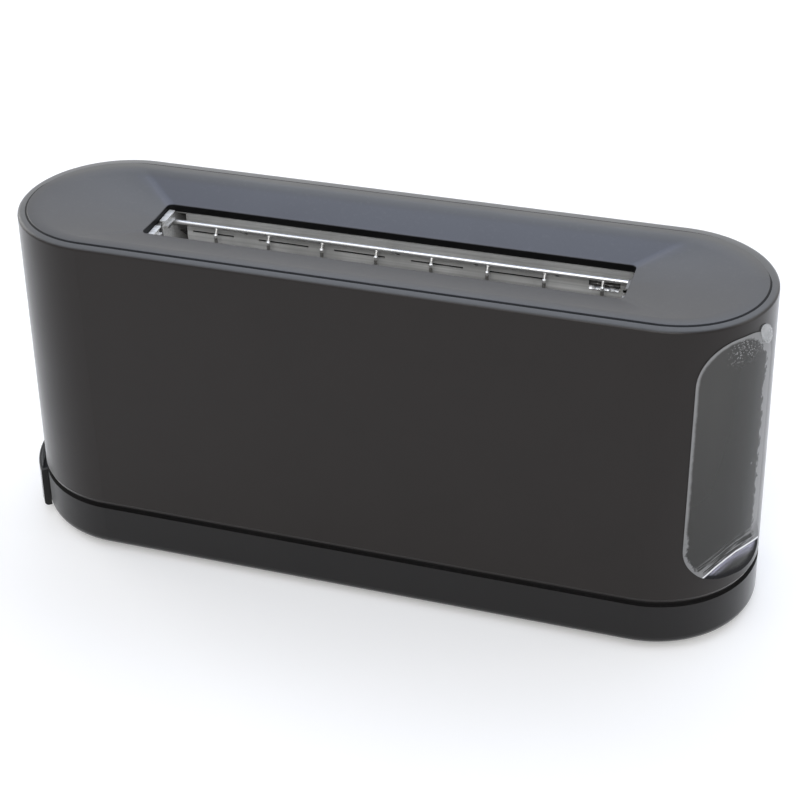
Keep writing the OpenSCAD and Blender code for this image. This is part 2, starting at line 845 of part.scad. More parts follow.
// One flat ribbon that runs to and fro over the inner face of its card
module heater_ribbon(side) {
    x0 = chamber_x0 + ribbon_margin;
    x1 = chamber_x1 - ribbon_margin;
    rise = (card_z1 - card_z0 - 2 * ribbon_margin - ribbon_w) / (ribbon_rows - 1);
    low = card_z0 + ribbon_margin;
    color("#8c8880") mirror([0, side > 0 ? 0 : 1, 0]) stand(heater_y - ribbon_t, heater_y) union() {
        for (i = [0 : ribbon_rows - 1]) translate([x0, low + i * rise]) square([x1 - x0, ribbon_w]);
        for (i = [0 : ribbon_rows - 2])
            translate([i % 2 == 0 ? x1 - ribbon_w : x0, low + i * rise]) square([ribbon_w, rise + ribbon_w]);
    }
}

module heater_ribbon_front() {
    heater_ribbon(-1);
}

module heater_ribbon_back() {
    heater_ribbon(1);
}

function wire_x(i) = slot_x + wire_shift + (i - (wire_count - 1) / 2) * wire_pitch;

// Wire grid beside the bread: two rods, and uprights that hook over the top rod
module bread_guide(side) {
    wire_r = wire_d / 2;
    bend_r = wire_r * 1.2;
    wire_y = guide_y - wire_in;
    bend_z = guide_z - wire_bend;
    hook = sqrt(wire_in * wire_in + wire_bend * wire_bend);
    long = chamber_x1 - chamber_x0 + 2 * guide_past;
    color("#dcdcda") mirror([0, side > 0 ? 0 : 1, 0]) {
        for (p = [[guide_y, guide_z], [wire_y, guide_low]])
            translate([chamber_x0 - guide_past, p[0], p[1]]) rotate([0, 90, 0])
            cylinder(h = long, r = guide_rod_d / 2);
        for (i = [0 : wire_count - 1]) translate([wire_x(i), wire_y, 0]) {
            translate([0, 0, guide_low]) cylinder(h = bend_z - guide_low, r = wire_r);
            translate([0, 0, bend_z]) sphere(bend_r);
            translate([0, 0, bend_z]) rotate([-atan(wire_in / wire_bend), 0, 0])
                cylinder(h = hook, r = wire_r);
        }
    }
}

module bread_guide_front() {
    bread_guide(-1);
}

module bread_guide_back() {
    bread_guide(1);
}

module guide_rod() {
    low = chassis_z - 1.5;
    high = hang_z + sheet_t + 1.5;
    color("#dcdcda") translate([rod_x, 0, low]) cylinder(h = high - low, r = rod_r);
}

// Slider block on the guide rod, with the lever arm, the spring ear and the arm that carries the armature
module carriage() {
    arm_x = lever_x - arm_t / 2;
    shelf_t = 4;
    shelf_half = 6;
    shelf_z = armature_z + armature_t;
    ear = spring_d / 2 + 1;
    color("#9c9a96") difference() {
        union() {
            block([rod_x - block_back, -block_y, carriage_z0], [rod_x + block_front, block_y, carriage_z1]);
            block([arm_x, block_y - past, lever_z - arm_h / 2],
                [arm_x + arm_t, arm_end, lever_z + arm_h / 2]);
            block([spring_x - ear, block_y - past, carriage_z0],
                [spring_x + ear, spring_y + ear, carriage_z0 + ear_t]);
            block([rod_x - shelf_half, magnet_y - magnet_r, shelf_z],
                [rod_x + shelf_half, -block_y + past, shelf_z + shelf_t]);
        }
        translate([rod_x, 0, carriage_z0 - past]) cylinder(h = carriage_h + 2 * past, r = rod_r + bore_fit);
    }
}

module armature() {
    side = 7;
    color("#6e6e70") block([rod_x - side, magnet_y - magnet_r, armature_z],
        [rod_x + side, magnet_y + magnet_r, armature_z + armature_t]);
}

// Spine that runs the length of the slot, with cross fingers between the guides' wires
module bread_rack() {
    spine_past = 6;
    color("#c8c6c0") {
        block([rod_x + block_front, -spine_t / 2, rack_z - spine_h],
            [chamber_x1 + sheet_t + spine_past, spine_t / 2, rack_z]);
        for (i = [0 : wire_count - 2])
            translate([wire_x(i) + wire_pitch / 2, -finger_y, rack_z - finger_r / 2]) rotate([-90, 0, 0])
            cylinder(h = 2 * finger_y, r = finger_r);
    }
}

// Extension spring wound as one tube from the carriage's ear to the top flange
spring_sides = 6;
spring_rings = 8;
spring_r = spring_d / 2 - spring_wire / 2;
spring_rise = (spring_z1 - spring_z0) / spring_turns;
function spring_path(t) =
    [spring_x + spring_r * cos(360 * t), spring_y + spring_r * sin(360 * t), spring_z0 + spring_rise * t];
spring_gap = min([for (i = [0 : spring_rings - 1])
    norm(spring_path(1 + i / spring_rings) - spring_path(i / spring_rings))]) - spring_wire;
echo(spring_gap = spring_gap);

module lift_spring() {
    last = spring_turns * spring_rings;
    points = [for (i = [0 : last], k = [0 : spring_sides - 1])
        let (t = i / spring_rings, a = 360 * k / spring_sides, out = [cos(360 * t), sin(360 * t), 0])
        spring_path(t) + spring_wire / 2 * (cos(a) * out + sin(a) * [0, 0, 1])];
    sides = [for (i = [0 : last - 1], k = [0 : spring_sides - 1])
        let (a = i * spring_sides + k, b = i * spring_sides + (k + 1) % spring_sides)
        each [[a, b, b + spring_sides], [a, b + spring_sides, a + spring_sides]]];
    first_end = [for (k = [1 : spring_sides - 2]) [0, k + 1, k]];
    top = last * spring_sides;
    last_end = [for (k = [1 : spring_sides - 2]) [top, top + k, top + k + 1]];
    color("#8a8a8c") polyhedron(points, concat(sides, first_end, last_end));
}

module lever_bezel() {
    low = lever_slot_z0 - bezel_lip;
    high = lever_slot_z1 + bezel_lip;
    color("#1f1f21") translate([lever_x, 0, 0]) on_back_wall() difference() {
        union() {
            stand(bezel_off, bezel_proud)
                pill(bezel_w + 2 * bezel_rim, low - bezel_rim, high + bezel_rim);
            stand(-shell_t - bezel_in, bezel_proud / 2) pill(bezel_w, low, high);
        }
        stand(-shell_t - bezel_in - past, bezel_proud + past)
            pill(lever_slot_w, lever_slot_z0, lever_slot_z1);
    }
}

module lever_knob() {
    bevel = 2;
    side = knob_w / 2;
    arm_fit = 0.1;
    front = knob_back_y + knob_depth;
    across = arm_t / 2 + arm_fit;
    up = arm_h / 2 + arm_fit;
    color("#1f1f21") difference() {
        translate([lever_x, 0, lever_z]) rotate([0, 90, 0]) hull() {
            stand(knob_back_y, front - bevel) pill(knob_h, -side, side, $fn = 32);
            stand(knob_back_y, front) pill(knob_h - 2 * bevel, bevel - side, side - bevel, $fn = 32);
        }
        block([lever_x - across, knob_back_y - past, lever_z - up],
            [lever_x + across, arm_end + arm_fit, lever_z + up]);
    }
}

// Coil on a core that holds the armature down while the bread toasts
module hold_magnet() {
    cheek = 1.5;
    core_r = 4;
    core_past = 2;
    coil_r = magnet_r - 1;
    foot = chassis_z + sheet_t;
    top = pole_z - core_past;
    color("#7a4a2a") translate([rod_x, magnet_y, 0]) rotate_extrude() polygon([
        [0, foot],
        [magnet_r, foot],
        [magnet_r, foot + cheek],
        [coil_r, foot + cheek],
        [coil_r, top - cheek],
        [magnet_r, top - cheek],
        [magnet_r, top],
        [core_r, top],
        [core_r, pole_z],
        [0, pole_z]
    ]);
}

// Board with three key switches, a relay and two capacitors, standing along the back wall
module control_board() {
    switch_half = 3;
    sunk = 0.5;
    relay = [9, 7, 16];
    relay_clear = pot_r + 4;
    relay_rise = 3;
    relay_low = [lever_x + relay_clear, board_y - sunk, board_low + relay_rise];
    cap_r = 3;
    cap_h = 6;
    color("#2f5a3a") {
        block([board_x0, board_y - board_t, board_low], [board_x1, board_y, board_high]);
        for (i = [0 : 2]) let (x = first_button + i * button_pitch)
            block([x - switch_half, board_y - sunk, dial_z - switch_half],
                [x + switch_half, board_y + switch_h, dial_z + switch_half]);
        translate(relay_low) cube(relay + [0, sunk, 0]);
        for (z = [board_low + cap_r + 1.5, board_high - cap_r - 3])
            translate([first_button + button_pitch / 2, board_y - sunk, z]) rotate([-90, 0, 0])
            cylinder(h = cap_h + sunk, r = cap_r);
    }
}

module potentiometer() {
    bush_end = inner_r(dial_z) + shell_t / 2;
    color("#8a8a8c") turn_y(lever_x, dial_z) polygon([
        [shaft_r + bore_fit, board_y],
        [pot_r, board_y],
        [pot_r, board_y + pot_h],
        [bush_r, board_y + pot_h],
        [bush_r, bush_end],
        [shaft_r + bore_fit, bush_end]
    ]);
}

module dial_shaft() {
    low = board_y + 1;
    high = dial_y + dial_depth - dial_cap;
    color("#c8c6c0") turn_y(lever_x, dial_z) translate([0, low]) square([shaft_r, high - low]);
}

module browning_knob() {
    grip_count = 24;
    grip_r = 0.7;
    skirt_h = 2;
    skirt_w = 2;
    bevel = 1.2;
    mark_w = 1.4;
    mark_long = 8;
    mark_deep = 0.6;
    dial_r = dial_d / 2;
    front = dial_y + dial_depth;
    color("#1f1f21") difference() {
        turn_y(lever_x, dial_z) polygon([
            [shaft_r, dial_y],
            [dial_r, dial_y],
            [dial_r, dial_y + skirt_h],
            [dial_r - skirt_w * 0.75, dial_y + skirt_h + 0.6],
            [dial_r - skirt_w, front - bevel],
            [dial_r - skirt_w - bevel, front],
            [0, front],
            [0, front - dial_cap],
            [shaft_r, front - dial_cap]
        ]);
        for (i = [0 : grip_count - 1]) translate([lever_x, dial_y + skirt_h + 2 * grip_r, dial_z])
            rotate([0, 360 * i / grip_count, 0]) translate([dial_r - 2 * grip_r, 0, 0]) rotate([-90, 0, 0])
            cylinder(h = dial_depth, r = grip_r);
        block([lever_x - mark_w / 2, front - mark_deep, dial_z + dial_r - mark_long],
            [lever_x + mark_w / 2, front + past, dial_z + dial_r]);
    }
}

// Round key with a flange inside the wall and a stem to its switch
module push_button(i) {
    cap_r = button_d / 2;
    proud = 0.8;
    edge = 0.8;
    stem_r = 2;
    flange_r = cap_r + 1.4;
    flange_t = 1.2;
    back = board_y + switch_h + button_press + run;
    flange_y1 = inner_r(dial_z) - 0.6;
    front = wall_r(dial_z) + button_press + proud;
    color("#1f1f21") turn_y(first_button + i * button_pitch, dial_z) polygon(concat(
        [[0, back], [stem_r, back], [stem_r, flange_y1 - flange_t], [flange_r, flange_y1 - flange_t]],
        [[flange_r, flange_y1], [cap_r, flange_y1]],
        arc(cap_r - edge, front - edge, edge, 0, 90, 4),
        [[0, front]]));
}

module cancel_button() {
    push_button(0);
}

module defrost_button() {
    push_button(1);
}

module reheat_button() {
    push_button(2);
}

placed() body_shell();
placed() top_cover();
placed() base();
placed() rubber_feet();
placed() base_screws();
placed() cord_gland();
placed() terminal_block();
placed() crumb_tray();
placed() crumb_tray_front();
placed() protective_film();
placed() end_plate_left();
placed() end_plate_right();
placed() slot_frame();
placed() reflector_front();
placed() reflector_back();
placed() heater_card_front();
placed() heater_card_back();
placed() heater_ribbon_front();
placed() heater_ribbon_back();
placed() bread_guide_front();
placed() bread_guide_back();
placed() guide_rod();
placed() carriage();
placed() armature();
placed() bread_rack();
placed() lift_spring();
placed() lever_bezel();
placed() lever_knob();
placed() hold_magnet();
placed() control_board();
placed() potentiometer();
placed() dial_shaft();
placed() browning_knob();
placed() cancel_button();
placed() defrost_button();
placed() reheat_button();
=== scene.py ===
# %% [markdown]
# # Dressing a long slot toaster
# The object is a tall household toaster with two round ends and one long slot in a dished top. Its solids are
# already made and packed, and they are loaded here as a fixed frame. Everything below is in metres in that frame.
# We set up a camera and a small studio, give every solid a finish built from shader nodes, and then model the
# pieces that need softer or finer shapes than the solids have.

# %% Load the frame
import json
import math
import bmesh
import bpy
import numpy as np
from mathutils import Matrix, Vector


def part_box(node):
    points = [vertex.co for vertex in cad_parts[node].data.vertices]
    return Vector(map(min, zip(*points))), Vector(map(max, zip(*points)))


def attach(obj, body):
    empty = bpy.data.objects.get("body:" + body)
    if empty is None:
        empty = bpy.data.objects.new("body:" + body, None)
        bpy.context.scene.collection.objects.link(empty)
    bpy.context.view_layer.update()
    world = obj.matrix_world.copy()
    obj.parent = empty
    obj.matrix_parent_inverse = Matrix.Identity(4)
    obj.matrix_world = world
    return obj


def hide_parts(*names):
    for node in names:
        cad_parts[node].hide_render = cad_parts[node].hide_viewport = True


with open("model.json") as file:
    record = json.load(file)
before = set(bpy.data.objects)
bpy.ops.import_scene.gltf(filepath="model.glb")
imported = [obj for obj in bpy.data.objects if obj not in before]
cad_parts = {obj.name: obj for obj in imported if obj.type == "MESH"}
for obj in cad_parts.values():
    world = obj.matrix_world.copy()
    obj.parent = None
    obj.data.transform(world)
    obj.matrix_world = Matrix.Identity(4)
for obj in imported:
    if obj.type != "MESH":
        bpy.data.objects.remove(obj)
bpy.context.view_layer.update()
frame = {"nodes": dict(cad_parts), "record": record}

nodes = frame["nodes"]
shell_low, shell_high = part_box("body_shell")
plan = Vector(((shell_low.x + shell_high.x) / 2, (shell_low.y + shell_high.y) / 2, 0))
bpy.ops.object.select_all(action="DESELECT")
print("nodes", len(nodes), "middle of the plan", [round(v, 5) for v in plan])

# %% [markdown]
# ## The camera
# A photograph taken from about a metre away, a little above and to the right. The angles come from fitting the
# outline of the body, its rim and its slot, and the small roll and shift come from the same fit. We build the
# camera's three axes ourselves, because a roll is then one rotation of two of them.

# %% Camera
azimuth = math.radians(18.439)
elevation = math.radians(33.355)
camera_roll = math.radians(-1.441)
camera_distance = 0.9305
look_at = plan + Vector((0, 0, 0.0953))
level = math.cos(elevation)
back = Vector((math.sin(azimuth) * level, -math.cos(azimuth) * level, math.sin(elevation)))
right = Vector((math.cos(azimuth), math.sin(azimuth), 0))
up = back.cross(right)
right_rolled = right * math.cos(camera_roll) + up * math.sin(camera_roll)
up_rolled = up * math.cos(camera_roll) - right * math.sin(camera_roll)
lens = bpy.data.cameras.new("studio_camera")
lens.lens = 78.93
lens.sensor_width = 36
lens.shift_x = 0.0179
lens.shift_y = -0.011
camera = bpy.data.objects.new("studio_camera", lens)
bpy.context.collection.objects.link(camera)
turned = Matrix((right_rolled, up_rolled, back)).transposed().to_4x4()
turned.translation = look_at + back * camera_distance
camera.matrix_world = turned
bpy.context.scene.camera = camera
print("camera at", [round(v, 3) for v in camera.matrix_world.translation])

# %% [markdown]
# ## The studio
# The toaster stands on a pale floor under one wide soft lamp from above. A second one stands lower in front and
# reaches into the slot, a cool one hangs over the back slope of the cover, and two weak ones stand at the sides. A
# dark matte body shows its shape mostly by what it reflects at a slant, so the room around it matters too: white
# near the horizon, and a cooler grey overhead, as under a ceiling. The floor is lit to about white, and for the rays
# that are seen it gets a little more, so that it clips to clean white and still keeps the shadow under the base.
# Floor, room and finishes are all shader nodes, so we begin with short helpers that add a node and fill its sockets:
# a number or a colour is typed on the socket, and anything else is linked to it.

# %% Helpers for shader nodes
finishes = {}


def put(tree, socket, value):
    if isinstance(value, tuple):
        socket.default_value = (*value, 1)
    elif isinstance(value, (int, float)):
        socket.default_value = value
    else:
        tree.links.new(value, socket)


def add(tree, kind, sockets=(), **settings):
    node = tree.nodes.new(kind)
    for key, value in settings.items():
        setattr(node, key, value)
    for socket, value in sockets:
        put(tree, node.inputs[socket], value)
    return node


def feed(tree, node, **values):
    for key, value in values.items():
        put(tree, node.inputs[key.replace("_", " ")], value)


def maths(tree, operation, first, second=0.0):
    return add(tree, "ShaderNodeMath", [(0, first), (1, second)], operation=operation).outputs[0]


def times(tree, first, second):
    return maths(tree, "MULTIPLY", first, second)


def stretch(tree, value, low, high, to_low=0.0, to_high=1.0):
    sockets = [("Value", value), ("From Min", low), ("From Max", high), ("To Min", to_low), ("To Max", to_high)]
    return add(tree, "ShaderNodeMapRange", sockets).outputs["Result"]


def mixed(tree, factor, first, second):
    return add(tree, "ShaderNodeMix", [(0, factor), (6, first), (7, second)], data_type="RGBA").outputs[2]


def axes_of(tree, vector):
    return add(tree, "ShaderNodeSeparateXYZ", [("Vector", vector)]).outputs


def new_finish(name):
    finishes[name] = bpy.data.materials.new(name)
    finishes[name].use_nodes = True
    tree = finishes[name].node_tree
    return tree, tree.nodes["Principled BSDF"]


# %% Floor
def seen_rays(tree):
    path = add(tree, "ShaderNodeLightPath").outputs
    first = maths(tree, "MAXIMUM", path["Is Camera Ray"], path["Is Glossy Ray"])
    return maths(tree, "MAXIMUM", first, path["Is Transmission Ray"])


floor_size, floor_glow = 9, 0.22
bpy.ops.mesh.primitive_plane_add(size=floor_size, location=(plan.x, plan.y, 0))
floor = bpy.context.object
floor.name = "studio_floor"
tree, paper = new_finish("studio_paper")
feed(tree, paper, Base_Color=(0.87, 0.86, 0.845), Roughness=0.9, Specular_IOR_Level=0.1,
     Emission_Color=(1, 1, 1), Emission_Strength=times(tree, seen_rays(tree), floor_glow))
floor.data.materials.append(finishes["studio_paper"])
print("floor", floor.dimensions[:])

# %% Room and lamps
world = bpy.data.worlds.new("studio_room")
bpy.context.scene.world = world
world.use_nodes = True
tree = world.node_tree
direction = add(tree, "ShaderNodeTexCoord").outputs["Generated"]
overhead = stretch(tree, axes_of(tree, direction)["Z"], 0.45, 1.0)
feed(tree, tree.nodes["Background"], Color=mixed(tree, overhead, (1, 1, 1), (0.6, 0.72, 1.0)),
     Strength=stretch(tree, seen_rays(tree), 0, 1, 0.5, 1.0))


def soft_lamp(name, place, aim, size, power, colour):
    lamp = bpy.data.lights.new(name, "AREA")
    lamp.shape = "RECTANGLE"
    lamp.size, lamp.size_y = size
    lamp.energy = power
    lamp.color = colour
    holder = bpy.data.objects.new(name, lamp)
    bpy.context.collection.objects.link(holder)
    holder.location = place
    holder.rotation_euler = (Vector(aim) - Vector(place)).to_track_quat("-Z", "Y").to_euler()
    print("lamp", name, power, "W")


soft_lamp("front_lamp", (-0.2, -0.9, 1.9), (0, 0, 0.15), (1.6, 1.1), 8, (1.0, 0.995, 0.98))
soft_lamp("slot_lamp", (0.3, -1.6, 1.4), (0, 0, 0.17), (1.0, 0.7), 12, (1.0, 0.995, 0.98))
soft_lamp("back_lamp", (0.2, 0.95, 1.5), (0, 0, 0.15), (2.4, 1.3), 14, (0.8, 0.87, 1.0))
soft_lamp("left_lamp", (-1.6, 0.5, 0.7), (0, 0, 0.1), (0.9, 1.0), 8, (1.0, 0.99, 0.97))
soft_lamp("right_lamp", (1.7, 0.2, 0.8), (0, 0, 0.1), (0.9, 1.0), 6, (1.0, 0.99, 0.97))
bpy.context.scene.view_settings.view_transform = "Standard"

# %% [markdown]
# ## Effects that several finishes share
# Moulded plastic has a fine grain and a faint cloudiness, sheet metal has streaks from rolling, and everything in a
# kitchen has a little dust. The top of the body is also a little crowned, so that it turns away from us towards its
# outer edge. Each of these is a node group with named inputs, made once and placed in each material with its own
# values. A group gives only masks and heights that change over the surface.

# %% Helpers for node groups
def new_group(name, inputs, outputs):
    group = bpy.data.node_groups.new(name, "ShaderNodeTree")
    for title, value in inputs:
        kind = "NodeSocketVector" if isinstance(value, tuple) else "NodeSocketFloat"
        group.interface.new_socket(title, in_out="INPUT", socket_type=kind).default_value = value
    for title in outputs:
        group.interface.new_socket(title, in_out="OUTPUT", socket_type="NodeSocketFloat")
    print("group", name)
    return group, group.nodes.new("NodeGroupInput").outputs, group.nodes.new("NodeGroupOutput")


def object_place(tree):
    return add(tree, "ShaderNodeTexCoord").outputs["Object"]


def noise(tree, vector, scale, detail, rough=0.5):
    sockets = [("Vector", vector), ("Scale", scale), ("Detail", detail), ("Roughness", rough)]
    return add(tree, "ShaderNodeTexNoise", sockets).outputs["Fac"]


# %% Moulded grain: fine pits and slow clouds
grain, given, out = new_group("moulded_grain", [("Pits per metre", 2600.0), ("Clouds per metre", 24.0)],
                              ["Height", "Cloud"])
where = object_place(grain)
pits = noise(grain, where, given["Pits per metre"], 2)
clouds = noise(grain, where, given["Clouds per metre"], 5, 0.6)
feed(grain, out, Height=pits, Cloud=stretch(grain, clouds, 0.3, 0.7))

# %% Rolled streaks: long thin lines along one direction
streaks, given, out = new_group("rolled_streaks", [("Lines", (40.0, 2500.0, 2500.0))], ["Line", "Patch"])
where = object_place(streaks)
drawn = add(streaks, "ShaderNodeVectorMath", [(0, where), (1, given["Lines"])], operation="MULTIPLY").outputs[0]
feed(streaks, out, Line=stretch(streaks, noise(streaks, drawn, 1, 3), 0.3, 0.7),
     Patch=stretch(streaks, noise(streaks, where, 55, 4), 0.35, 0.65))

# %% Settled dust: small specks that lie on faces that look up
dust, given, out = new_group("settled_dust", [("Specks per metre", 420.0), ("Amount", 0.25)], ["Dust", "Upward"])
facing = axes_of(dust, add(dust, "ShaderNodeNewGeometry").outputs["Normal"])["Z"]
upward = stretch(dust, facing, 0.7, 0.98)
fine = stretch(dust, noise(dust, object_place(dust), given["Specks per metre"], 3), 0.56, 0.78)
feed(dust, out, Dust=times(dust, times(dust, upward, fine), given["Amount"]), Upward=upward)

# %% [markdown]
# The crown is the group with most arithmetic. The plan of the body is a stadium, so a point's distance from the middle
# line is its y between the round ends, and its radius past them. The height falls with the square of what that
# distance has beyond a start. Front says how much of the fall is left in front of the slot, and Rear marks the band
# behind the slot, where the cover gets a painted highlight.

# %% Crowned edge: the top falls off a little towards its outer edge, as a moulded panel does
mm = 0.001
half = 145.25
ends, reach = half * mm, 0.1
crown, given, out = new_group("crowned_edge", [("From", 0.041), ("Curve", 24.0), ("Front", 1.0)],
                              ["Height", "Rear"])
moved = add(crown, "ShaderNodeVectorMath", [(0, object_place(crown))], operation="SUBTRACT")
moved.inputs[1].default_value = plan
axes = axes_of(crown, moved.outputs[0])
past_end = stretch(crown, maths(crown, "ABSOLUTE", axes["X"]), ends, ends + reach, 0.0, reach)
flat_place = add(crown, "ShaderNodeCombineXYZ", [("X", past_end), ("Y", axes["Y"])]).outputs[0]
radius = add(crown, "ShaderNodeVectorMath", [(0, flat_place)], operation="LENGTH").outputs["Value"]
outer = maths(crown, "MAXIMUM", maths(crown, "SUBTRACT", radius, given["From"]), 0)
fall = times(crown, times(crown, times(crown, outer, outer), given["Curve"]), -0.5)
front_to_back = stretch(crown, axes["Y"], 0.01, 0.034, given["Front"])
near_edge = stretch(crown, radius, 0.035, 0.043)
# Rear masks the band behind the slot, where the cover gets a painted highlight
feed(crown, out, Height=times(crown, fall, front_to_back),
     Rear=times(crown, near_edge, stretch(crown, axes["Y"], 0.008, 0.034)))

# %% [markdown]
# ## Finishes
# Each finish starts from the Principled shader. The shared groups drive its colour, roughness and normal, and what
# is the same all over is typed on the shader's own socket.

# %% Helpers for finishes
def place(tree, group, **values):
    node = add(tree, "ShaderNodeGroup", node_tree=group)
    for key, value in values.items():
        node.inputs[key.replace("_", " ")].default_value = value
    return node.outputs


def noted(tree, title):
    return add(tree, "ShaderNodeAttribute", attribute_name=title).outputs["Fac"]


def raised(tree, height, strength, depth, under=None):
    node = add(tree, "ShaderNodeBump", [("Height", height), ("Strength", strength), ("Distance", depth)])
    if under is not None:
        tree.links.new(under, node.inputs["Normal"])
    return node.outputs["Normal"]


# %% [markdown]
# The body, its cover and its controls are moulded plastic. One plain dark colour would look like a hole in the
# picture, so grain and clouds break it up, a soft sheen lifts the walls where we see them at a slant, and a paler
# colour on what looks up is painted light on the top. On the cover, a cooler colour on its back slope and folds is a
# painted reflection, and a lighter, warmer one on the band behind the slot is a painted highlight.

# %% Moulded plastics
def moulded(name, dark, light, rough, pits=2600.0, depth=0.00006, dusty=0.2, sheen=0.0, gloss=0.5, painted_top_light=None,
            curve=0.0, start=0.041, front=1.0, painted_slope_reflection=None, painted_rear_highlight=None):
    tree, shader = new_finish(name)
    skin = place(tree, grain, Pits_per_metre=pits, Clouds_per_metre=24.0)
    lint = place(tree, dust, Specks_per_metre=420.0, Amount=dusty)
    colour, under = mixed(tree, skin["Cloud"], dark, light), None
    # painted light: faces that look up get a paler colour, which stands in for the light on the top
    if painted_top_light is not None:
        colour = mixed(tree, lint["Upward"], colour, painted_top_light)
    # painted reflection: a cooler, bluer colour on the cover's back slope and folds, read from the points
    if painted_slope_reflection is not None:
        colour = mixed(tree, noted(tree, "painted_slope_reflection"), colour, painted_slope_reflection)
    if curve:
        edge = place(tree, crown, Curve=curve, From=start, Front=front)
        # painted highlight: a lighter colour on the band behind the slot
        if painted_rear_highlight is not None:
            colour = mixed(tree, edge["Rear"], colour, painted_rear_highlight)
        straight = add(tree, "ShaderNodeNewGeometry").outputs["Normal"]
        lowered = raised(tree, edge["Height"], 1, 1)
        both = add(tree, "ShaderNodeMix", [(0, lint["Upward"]), (4, straight), (5, lowered)], data_type="VECTOR")
        under = both.outputs[1]
    feed(tree, shader, Base_Color=mixed(tree, lint["Dust"], colour, (0.3, 0.3, 0.3)),
         Roughness=stretch(tree, skin["Cloud"], 0, 1, rough - 0.04, rough + 0.05),
         Normal=raised(tree, skin["Height"], 0.25, depth, under),
         Sheen_Weight=sheen, Sheen_Roughness=0.3, Specular_IOR_Level=gloss)


# the shell's paler colour on faces that look up is painted light on the top
moulded("shell_matte", (0.0085, 0.0058, 0.0044), (0.0105, 0.0076, 0.0062), 0.36, dusty=0.04, sheen=0.58, gloss=0.3,
        painted_top_light=(0.085, 0.085, 0.085), curve=32.0)
# the cover's cooler colour on the back slope and folds is painted reflection, and its lighter colour behind the slot
# is a painted highlight
moulded("cover_matte", (0.0385, 0.0377, 0.0386), (0.0438, 0.043, 0.0442), 0.36, 2200.0, 0.00008, 0.04, curve=15.0,
        start=0.036, front=0.0, painted_slope_reflection=(0.053, 0.055, 0.069), painted_rear_highlight=(0.07, 0.069, 0.066))
moulded("collar_black", (0.0025, 0.0025, 0.0027), (0.004, 0.004, 0.0043), 0.5, dusty=0.0, gloss=0.15)
moulded("base_matte", (0.006, 0.0053, 0.0052), (0.0078, 0.007, 0.0069), 0.4, dusty=0.04, sheen=0.6, gloss=0.28)
moulded("control_black", (0.012, 0.012, 0.0125), (0.016, 0.016, 0.0165), 0.36, 3600.0, 0.00003, 0.1)
moulded("print_pale", (0.5, 0.5, 0.49), (0.58, 0.58, 0.57), 0.5, 3000.0, 0.00002, 0.0)
moulded("terminal_white", (0.6, 0.57, 0.5), (0.68, 0.65, 0.58), 0.35, 3000.0, 0.00002, 0.0)
print("moulded finishes made,", len(finishes), "materials")

# %% [markdown]
# The feet and the cord gland are soft rubber. It uses the same grain as the shell, with larger pits and closer
# clouds, and it is much rougher.

# %% Rubber for the feet and the cord gland
tree, shader = new_finish("foot_rubber")
skin = place(tree, grain, Pits_per_metre=1400.0, Clouds_per_metre=90.0)
feed(tree, shader, Base_Color=mixed(tree, skin["Cloud"], (0.012, 0.012, 0.012), (0.028, 0.027, 0.026)),
     Roughness=stretch(tree, skin["Cloud"], 0, 1, 0.7, 0.88), Normal=raised(tree, skin["Height"], 0.5, 0.0002))
print("rubber made")

# %% [markdown]
# ## Metals
# All metals share the rolled streaks. Inside the slot, shade is painted into their colour. The pale frame is painted
# darker above and below its row of slits, where the collar and the rod shade it. The bread guides are painted darker
# except on their rod and at the bends of their wires, which keep a painted highlight. The strip in the frame's window
# is painted dark where it stands in the shade behind the sheet. Each of these is a mask by height, and a metal finish
# can take one of them.

# %% Where shade is painted on the metal in the slot
def height_of(tree):
    return axes_of(tree, object_place(tree))["Z"]


# painted shade on the frame: darker above the slits, where the collar and the rod shade it, and darker again lower
# down
def painted_shade_by_slits(tree):
    height = height_of(tree)
    over = stretch(tree, height, 0.1648, 0.1662, 0, 0.42)
    below = stretch(tree, height, 0.1628, 0.16, 0, 0.3)
    return maths(tree, "MAXIMUM", over, below)


bend_z = 0.1679


# painted shade on the bread guides: the wire is darker except on the rod and at the bends, which keep a painted
# highlight
def painted_shade_off_bends(tree):
    axes = axes_of(tree, object_place(tree))
    from_bend = maths(tree, "ABSOLUTE", maths(tree, "SUBTRACT", axes["Z"], bend_z))
    from_middle = maths(tree, "ABSOLUTE", maths(tree, "SUBTRACT", axes["Y"], plan.y))
    hook = times(tree, stretch(tree, from_middle, 0.0143, 0.0141), stretch(tree, axes["Z"], 0.1723, 0.172))
    wire = maths(tree, "MAXIMUM", hook, stretch(tree, axes["Z"], 0.1706, 0.1702))
    return times(tree, stretch(tree, from_bend, 0.0009, 0.0013, 0, 0.85), wire)


# painted shade on the bent tab: it is dark above its lower edge, where it stands in the shade behind the frame's sheet
def painted_shade_behind_window(tree):
    return stretch(tree, height_of(tree), 0.1648, 0.1656, 0, 0.95)


# %% Metals
def metal(name, dull, bright, rough, lines, line_depth=0.00002, patch=0.4, polish=1.0, painted_shade=None,
          shade_colour=(0.2, 0.195, 0.185)):
    tree, shader = new_finish(name)
    rolled = place(tree, streaks, Lines=lines)
    streaked = mixed(tree, rolled["Line"], dull, bright)
    dimmed = tuple(0.6 * v for v in dull)
    colour = mixed(tree, times(tree, rolled["Patch"], patch), streaked, dimmed)
    # painted shade: the colour goes darker where the mask says the metal stands in shade
    if painted_shade is not None:
        colour = mixed(tree, painted_shade(tree), colour, shade_colour)
    feed(tree, shader, Base_Color=colour, Metallic=polish,
         Roughness=stretch(tree, rolled["Line"], 0, 1, rough - 0.06, rough + 0.08),
         Normal=raised(tree, rolled["Line"], 0.2, line_depth))


